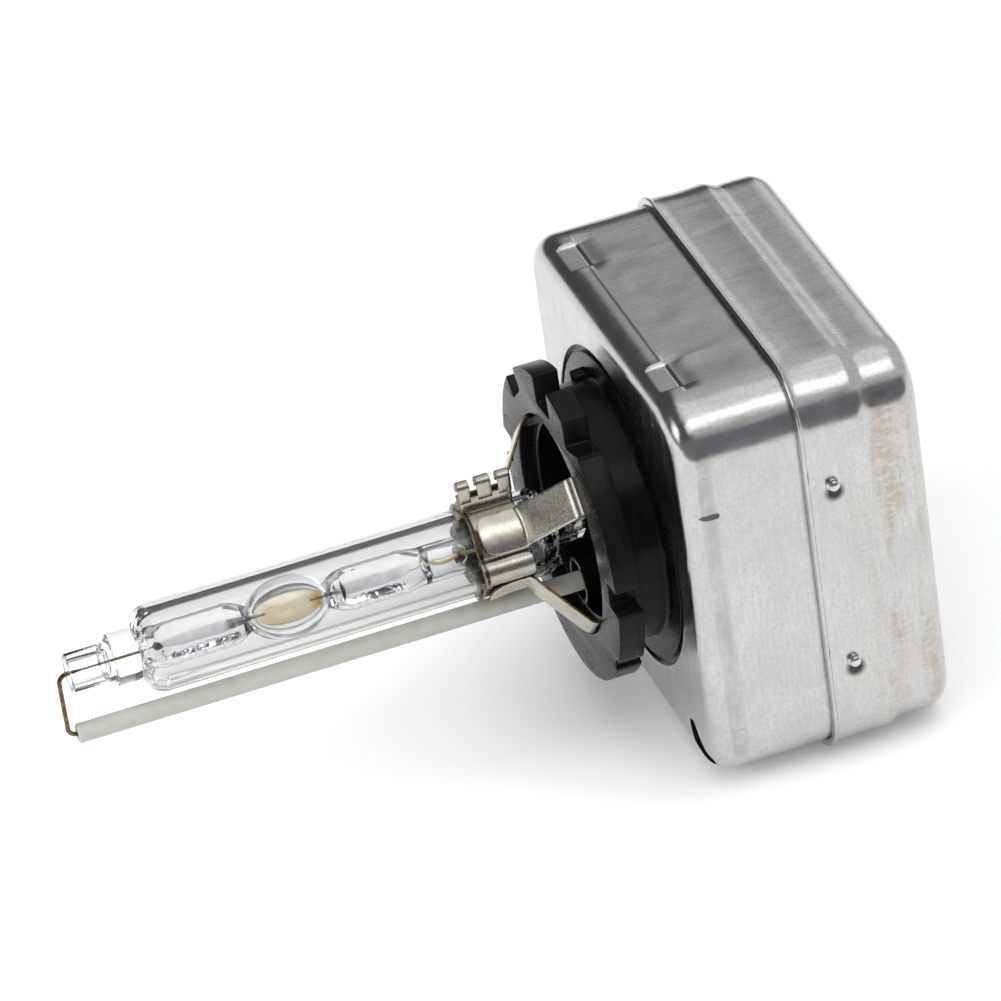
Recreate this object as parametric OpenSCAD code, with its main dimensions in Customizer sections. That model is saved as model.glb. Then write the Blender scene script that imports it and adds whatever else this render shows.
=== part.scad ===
// Gas-discharge headlight bulb with its igniter in a square metal case.
// Frame: the burner's axis is the Y axis and points to -Y, +Z is up, and the
// origin is on that axis, in the front face of the keyed base ring.

/* [Burner] */
// Outside diameter of the quartz sleeve
sleeve_d = 8.7; // [8:0.1:9.4]
// Wall thickness of the quartz sleeve
sleeve_wall = 0.8; // [0.6:0.1:1]
// Distance from the base ring's front face forward to the middle of the arc
arc_y = 28.1; // [27:0.1:28.5]
// Gap between the two electrode tips
arc_gap = 4.2; // [3.8:0.1:4.4]
// Largest diameter of the arc chamber
chamber_d = 6.1; // [5.6:0.1:6.4]
// Diameter of the glass stub at the front end
stub_d = 3.9; // [3.6:0.1:4.1]

/* [Return lead] */
// Outside diameter of the ceramic tube
ceramic_d = 1.94; // [1.6:0.02:2.2]
// Distance of the ceramic tube below the burner's axis
return_z = 7; // [6.6:0.1:7.2]
// Diameter of the return wire
wire_d = 0.46; // [0.4:0.02:0.5]

/* [Clamp] */
// Thickness of the clamp's sheet metal
clamp_t = 0.3; // [0.2:0.05:0.35]
// Width of the clamp band along the burner
clamp_w = 5.3; // [5:0.1:6]
// Width of each support strap
strap_w = 4; // [3.4:0.1:4.2]

/* [Base] */
// Outside diameter of the keyed base ring
ring_d = 31.6; // [31:0.1:31.8]
// Thickness of the base ring along the axis
ring_t = 2.6; // [2.4:0.1:3]
// Bore of the base ring
ring_bore = 22.2; // [21.8:0.1:22.6]
// Diameter of the neck between the ring and the case
neck_d = 25.8; // [25:0.1:27]

/* [Case] */
// Outside width and height of the drawn case
case_w = 42.2; // [42:0.1:43]
// Distance from the base ring's front face back to the case's front face
case_front = 6.3; // [6:0.1:6.6]
// Distance from the base ring's front face back to the case's rear face
case_rear = 30.8; // [30.8:0.1:32]
// Sheet thickness of the case
case_t = 0.5; // [0.4:0.05:0.5]
// Radius of the four long corners of the case
corner_r = 5.3; // [5:0.1:5.6]
// Radius of the case's front and rear edges
edge_r = 2.3; // [2.1:0.1:2.4]
// Position of the cover's front lip
lip_y = 18.1; // [17.6:0.1:18.4]

/* [Connector] */
// Height of the connector socket's mouth along Z
socket_h = 16; // [15:0.5:16]
// Depth of the connector socket's body into the case
socket_depth = 12; // [11.5:0.1:12]

/* [Hidden] */
$fn = 64;
fit = 0.05;                                // gap between pieces that slide together

// Burner stations along Y, from the front end to the rear
stub_r = stub_d / 2;
sleeve_r = sleeve_d / 2;
sleeve_in = sleeve_r - sleeve_wall;
stub_front = -arc_y - 21.8;
collar_front = -arc_y - 17.7;
sleeve_front = -arc_y - 15.3;
front_round = 2.1;
rear_round = 1.6;
sleeve_full = sleeve_front + front_round;
sleeve_end = -2.9;
tail_shoulder = -0.8;
tail_end = 2;
collar_r = 2.62;
collar_edge = 0.5;
seal_r = 1.95;
stub_bore = 1.1;
tail_bore = 1.25;
tail_bore_end = -14.6;
chamber_r = chamber_d / 2;
chamber_half = 4.2;
cavity_r = chamber_r - 1.45;
cavity_half = chamber_half - 1;
electrode_r = 0.15;
electrode_len = 3.2;
foil_w = 1.24;
foil_t = 0.1;
foil_len = 7;
foil_turn = 35;                            // the foils' broad faces look this far above +X
wire_r = wire_d / 2;
bend_r = 0.8;
wire_front = stub_front - 1.3;

// Ceramic tube and its contacts
ceramic_r = ceramic_d / 2;
ceramic_front = stub_front - 0.5;
ceramic_bore = wire_r + 0.2;
lead_end = 9.6;

// Clamp and straps
band_rear = -4.5;
band_front = band_rear - clamp_w;
band_r = sleeve_r + clamp_t;
roll_r = 1.1;
flange_h = 2.25;
tooth_w = 1.2;
tooth_h = 1.6;
tooth_pitch = 2.05;
seam_gap = 0.5;
foot_r = ring_bore / 2 - 0.3;              // outside face of each strap's foot
foot_end = 5.4;
strap_front = band_front + 0.4;
strap_bend = band_rear;
strap_slot = 0.1;

// Base ring and igniter housing
ring_r = ring_d / 2;
bore_r = ring_bore / 2;
neck_r = neck_d / 2;
well_r = 9.7;
spigot_front = 1.3;
disc_r = 15.9;
anchor_out = foot_r - clamp_t;
anchor_in = anchor_out - 0.5;
anchor_front = 4;
anchor_rear = 5.5;
case_half = case_w / 2;
case_in = case_half - case_t;
body_front = case_front + case_t;
body_step = body_front + 1.1;
body_floor = body_front + 2;
body_half = case_in - 0.2;
body_wall = 1.2;
body_in = body_half - body_wall;
body_corner = corner_r - case_t - 0.2;
body_rear = case_rear - 1.8;
floor_front = body_floor - 1.2;
boss_out = 2.4;
boss_in = 2;
boss_front = 1;
hv_out = 1.2;
hv_front = 4.6;
hv_boss_r = 3;

// Case
can_end = 24.3;
joggle_y = 24.4;
joggle_len = 1.3;
hole_r = disc_r + 0.1;
cover_in = case_half + fit;
cover_out = cover_in + case_t;
lip_out = cover_out + 0.3;
lip_w = 0.5;
lip_corner = corner_r + 0.8;
cover_corner = corner_r + case_t;
dent_depth = 0.3;
dent_len = 4.9;
dent_y = 9.6;
dent_at = 12.3;                            // from the middle of a side to the middle of a dent
slit_x = 19.3;
slit_z = -13.9;
slit_r = 4.7;
slit_w = 0.6;
rivet_y = 20.9;
rivet_z = 10.1;
rivet_r = 0.62;
rivet_top = cover_out + 0.85;
rivet_dome = 0.5;

// Parts inside the housing
resin_t = 1.2;
board_t = 1;
board_rear = body_rear - resin_t;
board_front = board_rear - board_t;
board_half = body_in - 0.5;
socket_face = -case_half - 0.2;
socket_y1 = board_front;
socket_w = 9.6;
socket_y0 = socket_y1 - socket_w;
socket_wall = 1;
window_reach = 6;
socket_back_t = 2.5;
pin_r = 0.5;
pin_pitch = 3;
pin_front = 4.8;
pin_rear = 1.2;
coil_x = 8;
coil_y = 19.4;
core_r = 2.5;
core_half = 15;
bobbin_r = 3.6;
flange_r = 6.4;
flange_t = 0.8;
flange_pitch = 6.5;
core_gap = 0.4;                            // between the core's bobbin and the housing
capacitor = [12, 6.8, 15];
capacitor_x = -16;
capacitor_z = -17;
capacitor_edge = 1;
gap_x = -10;
gap_y = 12.6;
gap_z = 7;
gap_r = 3.6;
gap_half = 2.4;
gap_cap_t = 1.2;
gap_lead_r = 0.4;
resistor_x = -2.6;
resistor_z = 7.5;
resistor_r = 1.3;
resistor_half = 3.5;
resistor_lead_r = 0.3;
resistor_lead = 2.5;

// ---- helpers ---------------------------------------------------------------

// A flat shape drawn in X and Z, made solid from y0 to y1.
module along_y(y0, y1)
    translate([0, y1, 0]) rotate([90, 0, 0]) linear_extrude(y1 - y0) children();

// A profile drawn as radius and Y, turned about the Y axis.
module turned() rotate([-90, 0, 0]) rotate_extrude() children();

// A rod of radius r on a line parallel to Y through x, z.
module rod_y(r, y0, y1, x = 0, z = 0)
    translate([x, y0, z]) rotate([-90, 0, 0]) cylinder(r = r, h = y1 - y0);

// A rod of radius r parallel to Z.
module rod_z(r, z0, z1, x, y) translate([x, y, z0]) cylinder(r = r, h = z1 - z0);

// Points of an arc in a turned profile, about (cr, cy), from angle a0 to a1.
function arc(cr, cy, r, a0, a1, n = 10) =
    [for (i = [0:n]) let (a = a0 + (a1 - a0) * i / n) [cr + r * cos(a), cy + r * sin(a)]];

// Half of an ellipse about the axis, as radius and Y, from its front end to its rear end.
function half_ellipse(cy, rr, ry, a0 = -90, a1 = 90, n = 24) =
    [for (i = [0:n]) let (a = a0 + (a1 - a0) * i / n) [rr * cos(a), cy + ry * sin(a)]];

module corners(half) for (sx = [-1, 1], sz = [-1, 1]) translate([sx * half, sz * half]) children();

// A square with round corners, drawn flat.
module round_square(half, r) {
    square([2 * half, 2 * (half - r)], center = true);
    square([2 * (half - r), 2 * half], center = true);
    corners(half - r) circle(r);
}

// The outline of a drawn box seen from the side: round at y_closed, square at y_open.
module drawn_outline(half, edge, y_closed, y_open) {
    turn = y_open > y_closed ? 1 : -1;
    y_round = y_closed + turn * edge;
    for (s = [-1, 1]) translate([s * (half - edge), y_round]) circle(edge);
    translate([-half, min(y_round, y_open)]) square([2 * half, abs(y_open - y_round)]);
    translate([edge - half, min(y_closed, y_open)])
        square([2 * (half - edge), abs(y_open - y_closed)]);
}

// A drawn box that is closed and rounded at y_closed and flat at y_open.
module drawn_box(half, r, edge, y_closed, y_open) intersection() {
    along_y(min(y_closed, y_open), max(y_closed, y_open)) round_square(half, r);
    translate([0, 0, -half - 1]) linear_extrude(2 * half + 2)
        drawn_outline(half, edge, y_closed, y_open);
    rotate([0, 90, 0]) translate([0, 0, -half - 1]) linear_extrude(2 * half + 2)
        drawn_outline(half, edge, y_closed, y_open);
}

// ---- burner ----------------------------------------------------------------

module outer_bulb() color("aliceblue", 0.35) turned() polygon(concat(
    [[seal_r, sleeve_front]],
    arc(sleeve_r - front_round, sleeve_full, front_round, -90, 0),
    arc(sleeve_r - rear_round, sleeve_end, rear_round, 0, 60),
    [[seal_r, tail_shoulder], [seal_r, tail_shoulder - 1]],
    arc(sleeve_in - rear_round / 2, sleeve_end - 0.3, rear_round / 2, 60, 0),
    arc(sleeve_in - front_round + sleeve_wall, sleeve_full + 0.1, front_round - sleeve_wall, 0, -90)
));

module electrode(y0) rod_y(electrode_r, y0, y0 + electrode_len);
module foil(y0) rotate([0, -foil_turn, 0])
    translate([-foil_t / 2, y0, -foil_w / 2]) cube([foil_t, foil_len, foil_w]);

tip_front = -arc_y - arc_gap / 2;
tip_rear = -arc_y + arc_gap / 2;
foil_front_y = tip_front - electrode_len - foil_len;
foil_rear_y = tip_rear + electrode_len;

module arc_tube() color("lightcyan", 0.4) difference() {
    turned() polygon(concat(
        [[0, stub_front], [stub_r, stub_front], [stub_r, collar_front]],
        arc(collar_r - collar_edge, collar_front + collar_edge, collar_edge, -90, 0),
        [[collar_r, sleeve_front], [seal_r, sleeve_front], [seal_r, -arc_y - chamber_half - 0.6]],
        half_ellipse(-arc_y, chamber_r, chamber_half, -54, 54),
        [[seal_r, -arc_y + chamber_half + 0.6], [seal_r, tail_end], [0, tail_end]]
    ));
    turned() polygon(half_ellipse(-arc_y, cavity_r, cavity_half));
    electrode(tip_front - electrode_len);
    electrode(tip_rear);
    foil(foil_front_y);
    foil(foil_rear_y);
    rod_y(wire_r + 0.01, stub_front - 1, foil_front_y);
    rod_y(wire_r, foil_rear_y + foil_len, tail_end + 1);
    rod_y(stub_bore, stub_front - 1, collar_front);
    rod_y(tail_bore, tail_bore_end, tail_end + 1);
}

module electrode_front() color("dimgray") electrode(tip_front - electrode_len);
module electrode_rear() color("dimgray") electrode(tip_rear);
module foil_front() color("lightslategray") foil(foil_front_y);
module foil_rear() color("lightslategray") foil(foil_rear_y);

// Route of the return wire: out of the stub, down, and back through the ceramic tube.
wire_route = concat(
    [[foil_front_y, 0], [-arc_y - 18, 0]],
    [for (a = [0:15:90]) [wire_front + bend_r - bend_r * sin(a), -bend_r + bend_r * cos(a)]],
    [for (a = [0:15:90])
        [wire_front + bend_r - bend_r * cos(a), -return_z + bend_r - bend_r * sin(a)]],
    [[-arc_y, -return_z], [lead_end, -return_z]]
);

// A round wire swept along a route of [y, z] points in the plane X = 0.
module swept_wire(route, r, sides = 12) {
    last = len(route) - 1;
    function dir(i) = let (d = route[min(i + 1, last)] - route[max(i - 1, 0)]) d / norm(d);
    function ring(i) = [for (k = [0:sides - 1]) let (a = 360 * k / sides, d = dir(i))
        [r * cos(a), route[i][0] - d[1] * r * sin(a), route[i][1] + d[0] * r * sin(a)]];
    polyhedron(
        points = [for (i = [0:last]) each ring(i)],
        faces = concat(
            [[for (k = [0:sides - 1]) k]],
            [for (i = [0:last - 1], k = [0:sides - 1])
                let (a = i * sides + k, b = i * sides + (k + 1) % sides)
                [b, a, a + sides, b + sides]],
            [[for (k = [sides - 1:-1:0]) last * sides + k]]
        )
    );
}

module return_wire() color("saddlebrown") swept_wire(wire_route, wire_r);

module supply_lead() color("darkgray") rod_y(wire_r, foil_rear_y + foil_len, lead_end);

module ceramic_tube() color("ivory") difference() {
    rod_y(ceramic_r, ceramic_front, body_floor, 0, -return_z);
    rod_y(ceramic_bore, ceramic_front - 1, body_floor + 1, 0, -return_z);
}

// ---- clamp -----------------------------------------------------------------

module clamp_band() color("rosybrown") difference() {
    union() {
        rod_y(band_r, band_front, band_rear);
        for (sx = [-1, 1]) {
            rod_y(roll_r, band_front, band_rear, sx * (band_r - 0.1), 0);
            translate([sx * (seam_gap + clamp_t) / 2 - clamp_t / 2, band_front, sleeve_r - clamp_t])
                cube([clamp_t, clamp_w, flange_h]);
        }
        for (i = [-1:1]) translate([seam_gap / 2, 0, sleeve_r])
            translate([0, (band_front + band_rear) / 2 + i * tooth_pitch - tooth_w / 2, 0])
                cube([clamp_t, tooth_w, flange_h - clamp_t + tooth_h]);
    }
    rod_y(sleeve_r, band_front - 1, band_rear + 1);
    for (sx = [-1, 1])
        rod_y(roll_r - clamp_t, band_front - 1, band_rear + 1, sx * (band_r - 0.1), 0);
    translate([-seam_gap / 2, band_front - 1, 0]) cube([seam_gap, clamp_w + 2, sleeve_r + 3]);
}

// One strap, drawn to stand towards +X: a curved end on the band, a slope and a foot.
module support_strap(angle) color("silver") rotate([0, -angle, 0]) {
    difference() {
        intersection() {
            rod_y(band_r + clamp_t, strap_front, strap_bend + 0.4);
            translate([0, strap_front, -strap_w / 2]) cube([band_r + 1, 6, strap_w]);
        }
        rod_y(band_r, strap_front - 1, strap_bend + 2);
    }
    translate([0, 0, -strap_w / 2]) linear_extrude(strap_w) polygon([
        [band_r, strap_bend - 0.5], [band_r + clamp_t, strap_bend - 0.5],
        [band_r + clamp_t, strap_bend - 0.1], [foot_r, -0.5], [foot_r, foot_end],
        [foot_r - clamp_t, foot_end], [foot_r - clamp_t, -0.3], [band_r, strap_bend + 0.2]
    ]);
}

STRAPS = [["strap_upper_near", 45], ["strap_upper_far", 135],
          ["strap_lower_far", 225], ["strap_lower_near", 315]];

module anchor_ring() color("gray") difference() {
    rod_y(anchor_out, anchor_front, anchor_rear);
    rod_y(anchor_in, anchor_front - 1, anchor_rear + 1);
}

// ---- base ------------------------------------------------------------------

// Keyways round the ring: [angle, width, radius of the floor].
keyways = [[92.3, 3.7, 12.7], [132.5, 3.4, 13.4], [177, 2.9, 13.6], [-1.2, 2.7, 13.3],
           [-34.5, 1.4, 15.2]];

module base_ring() color("dimgray") along_y(0, ring_t) difference() {
    circle(ring_r, $fn = 128);
    circle(bore_r, $fn = 96);
    for (k = keyways) rotate(k[0]) translate([k[2], -k[1] / 2]) square([5, k[1]]);
    polygon([[5.5, 12], [6.9, 12.2], [9.4, 13], [9.4, 17], [5.5, 17]]);
}

module igniter_housing() color("black") difference() {
    union() {
        rod_y(neck_r, ring_t, case_front);
        rod_y(bore_r, spigot_front, ring_t);
        rod_y(disc_r, case_front, body_front);
        along_y(body_front, body_step) round_square(body_half - 2, corner_r - 2);
        along_y(body_step, body_rear) round_square(body_half, body_corner);
    }
    difference() {
        rod_y(well_r, spigot_front - 1, floor_front);
        rod_y(boss_out, boss_front, floor_front + 1, 0, -return_z);
        rod_y(hv_boss_r, hv_front, floor_front + 1);
    }
    rod_y(boss_in, boss_front - 1, floor_front, 0, -return_z);
    rod_y(ceramic_r, floor_front - 1, body_floor + 1, 0, -return_z);
    rod_y(hv_out, hv_front - 1, body_floor + 1);
    along_y(body_floor, body_rear + 1) round_square(body_in, body_corner - body_wall);
    for (s = STRAPS) rotate([0, -s[1], 0])
        translate([foot_r - clamp_t, 0, -strap_w / 2 - strap_slot])
            cube([clamp_t + strap_slot, foot_end, strap_w + 2 * strap_slot]);
    difference() {
        rod_y(anchor_out, anchor_front, anchor_rear);
        rod_y(anchor_in, anchor_front - 1, anchor_rear + 1);
    }
    translate([-body_half - 1, socket_y0, -socket_h / 2])
        cube([body_wall + 2, socket_w, socket_h]);
}

module contact_tube(y0, y1, z) color("goldenrod") difference() {
    rod_y(hv_out, y0, y1, 0, z);
    rod_y(wire_r, y0 - 1, y1 + 1, 0, z);
}
module high_voltage_contact() contact_tube(hv_front + 0.4, lead_end, 0);
module return_contact() contact_tube(body_floor, lead_end, -return_z);

// ---- case ------------------------------------------------------------------

// Eight shallow dents behind the front edge locate the housing: two on each side.
module edge_dents() for (turn = [0:90:270], side = [-1, 1]) rotate([0, turn, 0])
    translate([side * dent_at - dent_len / 2, case_front, case_half - dent_depth])
        cube([dent_len, dent_y - case_front, 1]);

module socket_window() translate([-case_half - 2, socket_y0 - fit, -socket_h / 2 - fit])
    cube([window_reach, socket_w + 2 * fit, socket_h + 2 * fit]);

module rivet_holes() for (sx = [-1, 1], sz = [-1, 1])
    translate([sx * case_half, rivet_y, sz * rivet_z]) rotate([0, 90, 0])
        cylinder(r = rivet_r, h = 6, center = true);

// Curved slit beside the lower near corner of the front face.
module front_slit() along_y(case_front - 1, case_front + case_t + 1) intersection() {
    translate([slit_x, slit_z]) difference() {
        circle(slit_r);
        circle(slit_r - slit_w);
    }
    translate([slit_x - slit_r, slit_z - slit_r]) square([slit_r, 0.75 * slit_r]);
}

module front_shell() color("lightgray") difference() {
    drawn_box(case_half, corner_r, edge_r, case_front, can_end);
    drawn_box(case_in, corner_r - case_t, edge_r - case_t, case_front + case_t, can_end + 1);
    rod_y(hole_r, case_front - 1, case_front + 3);
    edge_dents();
    front_slit();
    socket_window();
    rivet_holes();
}

module rear_cover() color("lightsteelblue") difference() {
    union() {
        along_y(lip_y, lip_y + lip_w) round_square(lip_out, lip_corner);
        along_y(lip_y, joggle_y) round_square(cover_out, cover_corner);
        hull() {
            along_y(joggle_y - 0.1, joggle_y) corners(cover_out - corner_r) circle(corner_r, $fn = 36);
            along_y(joggle_y + joggle_len, joggle_y + joggle_len + 0.1)
                corners(case_half - corner_r) circle(corner_r, $fn = 36);
        }
        drawn_box(case_half, corner_r, edge_r, case_rear, joggle_y + joggle_len);
    }
    along_y(lip_y - 1, joggle_y) round_square(cover_in, corner_r);
    drawn_box(case_in, corner_r - case_t, edge_r - case_t, case_rear - case_t, joggle_y - 1);
    socket_window();
    rivet_holes();
}

module cover_rivets() color("gainsboro") for (sx = [-1, 1], sz = [-1, 1])
    translate([sx * (body_half + fit), rivet_y, sz * rivet_z]) rotate([0, sx * 90, 0]) {
        cylinder(r = rivet_r - 0.02, h = rivet_top - body_half - rivet_dome);
        translate([0, 0, rivet_top - body_half - rivet_dome]) intersection() {
            sphere(rivet_r + 0.1);
            cylinder(r = rivet_r + 0.1, h = 2);
        }
    }

// ---- electrical parts ------------------------------------------------------

module connector_socket() color("black") difference() {
    translate([socket_face, socket_y0, -socket_h / 2])
        cube([socket_depth, socket_w, socket_h]);
    translate([socket_face - 1, socket_y0 + socket_wall, -socket_h / 2 + socket_wall])
        cube([socket_depth - socket_back_t + 1, socket_w - 2 * socket_wall,
              socket_h - 2 * socket_wall]);
    connector_pin_rods();
}

module connector_pin_rods() for (i = [-1.5:1:1.5])
    translate([socket_face + pin_front, (socket_y0 + socket_y1) / 2, i * pin_pitch])
        rotate([0, 90, 0]) cylinder(r = pin_r, h = socket_depth - pin_front + pin_rear);

module connector_pins() color("gold") connector_pin_rods();

module transformer_core() color("darkslategray") rod_z(core_r, -core_half, core_half, coil_x, coil_y);

module bobbin_end(z) translate([coil_x - flange_r - core_gap, body_floor, z])
    cube([2 * (flange_r + core_gap), coil_y + flange_r + core_gap - body_floor, flange_t]);

module transformer_bobbin() color("saddlebrown") difference() {
    union() {
        rod_z(bobbin_r, -2 * flange_pitch, 2 * flange_pitch, coil_x, coil_y);
        for (i = [-1:1]) rod_z(flange_r, i * flange_pitch - flange_t / 2,
                               i * flange_pitch + flange_t / 2, coil_x, coil_y);
        bobbin_end(-2 * flange_pitch);
        bobbin_end(2 * flange_pitch - flange_t);
    }
    rod_z(core_r, -core_half - 1, core_half + 1, coil_x, coil_y);
}

module winding_section(z0, z1) difference() {
    rod_z(flange_r - 0.2, z0, z1, coil_x, coil_y);
    rod_z(bobbin_r, z0 - 1, z1 + 1, coil_x, coil_y);
}

module secondary_winding() color("peru") for (i = [-2:1]) {
    low = i == -2 ? flange_t : flange_t / 2;
    high = i == 1 ? flange_t : flange_t / 2;
    winding_section(i * flange_pitch + low, (i + 1) * flange_pitch - high);
}

module primary_winding() color("chocolate") difference() {
    rod_z(flange_r + core_gap, -flange_pitch - core_gap, flange_pitch + core_gap, coil_x, coil_y);
    rod_z(flange_r, -flange_pitch - 1, flange_pitch + 1, coil_x, coil_y);
}

module capacitor() color("royalblue") translate([capacitor_x, body_floor, capacitor_z]) difference() {
    cube(capacitor);
    for (x = [0, capacitor[0]]) translate([x, -1, 0]) rotate([0, 45, 0])
        cube([capacitor_edge, 2 * capacitor[1], capacitor_edge]);
}

module spark_gap() color("lightgray") {
    rod_z(gap_r, gap_z - gap_half, gap_z + gap_half, gap_x, gap_y);
    rod_z(gap_r - gap_lead_r, gap_z - gap_half - gap_cap_t, gap_z + gap_half + gap_cap_t, gap_x, gap_y);
    rod_z(gap_lead_r, gap_z - gap_half - 2 * gap_cap_t, gap_z + gap_half + 2 * gap_cap_t, gap_x, gap_y);
}

module bleed_resistor() color("tan") {
    rod_z(resistor_r, resistor_z - resistor_half, resistor_z + resistor_half,
          resistor_x, body_floor + resistor_r);
    rod_z(resistor_lead_r, resistor_z - resistor_half - resistor_lead,
          resistor_z + resistor_half + resistor_lead, resistor_x, body_floor + resistor_r);
}

module circuit_board() color("darkgreen") along_y(board_front, board_rear)
    square(2 * board_half, center = true);

module sealing_resin() color("dimgray") along_y(board_rear, body_rear)
    round_square(body_in, body_corner - body_wall);

outer_bulb();
arc_tube();
electrode_front();
electrode_rear();
foil_front();
foil_rear();
return_wire();
supply_lead();
ceramic_tube();
clamp_band();
for (s = STRAPS) support_strap(s[1]);
anchor_ring();
base_ring();
igniter_housing();
high_voltage_contact();
return_contact();
front_shell();
rear_cover();
cover_rivets();
connector_socket();
connector_pins();
transformer_core();
transformer_bobbin();
secondary_winding();
primary_winding();
capacitor();
spark_gap();
bleed_resistor();
circuit_board();
sealing_resin();
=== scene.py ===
"""Looks of a gas-discharge headlight bulb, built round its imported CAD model.

Lengths in this script are millimetres in the CAD frame: the burner's axis is Y and points
to -Y, +Z is up. MM turns them into Blender's metres when a mesh is made.
"""
import math

import bmesh
import bpy
from mathutils import Matrix, Vector, noise


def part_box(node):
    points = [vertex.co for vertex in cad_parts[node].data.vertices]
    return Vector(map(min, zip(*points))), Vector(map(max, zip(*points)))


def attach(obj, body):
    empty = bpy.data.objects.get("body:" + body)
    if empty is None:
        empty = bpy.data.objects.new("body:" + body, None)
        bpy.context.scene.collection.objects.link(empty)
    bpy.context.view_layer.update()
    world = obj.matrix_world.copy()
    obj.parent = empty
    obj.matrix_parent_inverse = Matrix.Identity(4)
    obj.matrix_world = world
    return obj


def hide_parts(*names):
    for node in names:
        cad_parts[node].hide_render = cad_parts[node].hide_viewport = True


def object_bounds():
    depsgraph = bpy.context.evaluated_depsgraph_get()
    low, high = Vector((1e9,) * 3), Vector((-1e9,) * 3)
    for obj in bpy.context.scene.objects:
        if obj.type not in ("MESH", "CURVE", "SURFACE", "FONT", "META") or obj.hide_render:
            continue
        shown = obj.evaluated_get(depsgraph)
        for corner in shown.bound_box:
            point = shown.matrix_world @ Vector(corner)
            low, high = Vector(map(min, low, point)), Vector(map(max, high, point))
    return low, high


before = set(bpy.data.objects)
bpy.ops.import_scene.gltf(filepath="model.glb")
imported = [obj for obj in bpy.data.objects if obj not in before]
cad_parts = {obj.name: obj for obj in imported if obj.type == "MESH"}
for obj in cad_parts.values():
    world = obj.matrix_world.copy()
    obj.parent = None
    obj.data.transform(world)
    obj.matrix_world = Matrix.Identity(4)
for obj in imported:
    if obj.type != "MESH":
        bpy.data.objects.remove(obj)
cad_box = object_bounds()
MM = 0.001


# ---- measures --------------------------------------------------------------------------


def node_box(node):
    """Lowest and highest corner of a CAD node, in millimetres."""
    low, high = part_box(node)
    return low / MM, high / MM


sleeve_low, sleeve_high = node_box("outer_bulb")
tube_low = node_box("arc_tube")[0]
ceramic_low, ceramic_high = node_box("ceramic_tube")
wire_low, wire_high = node_box("return_wire")
band_low, band_high = node_box("clamp_band")
ring_low, ring_high = node_box("base_ring")
shell_low, shell_high = node_box("front_shell")
cover_low, cover_high = node_box("rear_cover")
housing_high = node_box("igniter_housing")[1]
rivet_low, rivet_high = node_box("cover_rivets")
socket_low, socket_high = node_box("connector_socket")

sleeve_r = sleeve_high.x
sleeve_front = sleeve_low.y
stub_front = tube_low.y
ceramic_r = ceramic_high.x
arc_y = -28.1
return_z = (ceramic_low.z + ceramic_high.z) / 2
ring_r = 15.8
ring_t = ring_high.y - ring_low.y
case_half = shell_high.x
case_front = shell_low.y
can_end = shell_high.y
case_rear = cover_high.y
lip_y = cover_low.y
lip_out = cover_high.x

# Case
sheet = 0.5
corner_r = 5.3
edge_r = 2.3
flat_half = case_half - corner_r
hole_r = 16.15
cover_out = case_half + 0.55
joggle_y = 24.3
joggle_end = 25.8
dent_at = 12.3
dent_len = 4.9
dent_depth = 0.34
side_dent_upper = 0.25
side_dent_lower = 0.12
dent_rear = 9.7
top_swell = 0.2
side_swell = 0.12
die_line = 0.05
dent_wall = 0.4
rivet_y = (rivet_low.y + rivet_high.y) / 2
rivet_r = (rivet_high.y - rivet_low.y) / 2
rivet_z = rivet_high.z - rivet_r

# Base
bore_r = 11.1
neck_r = 12.9
disc_r = 15.9
spigot_front = 1.3
well_r = 9.7
well_floor = 7.6

# Clamp
clamp_t = 0.3
strap_w = 4.0
foot_r = bore_r - 0.3
band_r = sleeve_r + clamp_t
flange_top = 6.3
strap_angles = {"strap_upper_near": 45, "strap_upper_far": 135,
                "strap_lower_far": 225, "strap_lower_near": 315}


# ---- mesh helpers ----------------------------------------------------------------------


def make_piece(name, points, faces, material, sharp=35):
    """A mesh object from points in millimetres, smooth apart from its sharp edges."""
    mesh = bpy.data.meshes.new(name)
    mesh.from_pydata([Vector(p) * MM for p in points], [], faces)
    return finish_piece(name, mesh, material, sharp)


def put_in_scene(name, data):
    """A new object of a mesh, curve, light or camera."""
    piece = bpy.data.objects.new(name, data)
    bpy.context.scene.collection.objects.link(piece)
    return piece


def edit_mesh(mesh, change):
    """Lets change work on the mesh's points and faces."""
    bm = bmesh.new()
    bm.from_mesh(mesh)
    change(bm)
    bm.to_mesh(mesh)
    bm.free()


def shade(mesh, sharp):
    """Smooth, apart from edges sharper than so many degrees."""
    mesh.shade_smooth()
    mesh.set_sharp_from_angle(angle=math.radians(sharp))


def finish_piece(name, mesh, material, sharp=35):
    """An object of the mesh with its faces turned outwards and its finish."""
    edit_mesh(mesh, lambda bm: bmesh.ops.recalc_face_normals(bm, faces=bm.faces))
    shade(mesh, sharp)
    if material:
        mesh.materials.clear()
        mesh.materials.append(material)
    return put_in_scene(name, mesh)


def declare(piece, slot, *nodes):
    """Rides the piece on the bulb and hides the CAD nodes that it stands for; slot is not used."""
    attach(piece, "root")
    if nodes:
        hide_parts(*nodes)
    return piece


def ring_faces(rows, columns, wrap=True, close=False):
    """Quads between rows of points that each hold the same number of columns."""
    faces = []
    last = rows if close else rows - 1
    for i in range(last):
        here, there = i * columns, (i + 1) % rows * columns
        for j in range(columns if wrap else columns - 1):
            k = (j + 1) % columns
            faces.append((here + j, here + k, there + k, there + j))
    return faces


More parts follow.
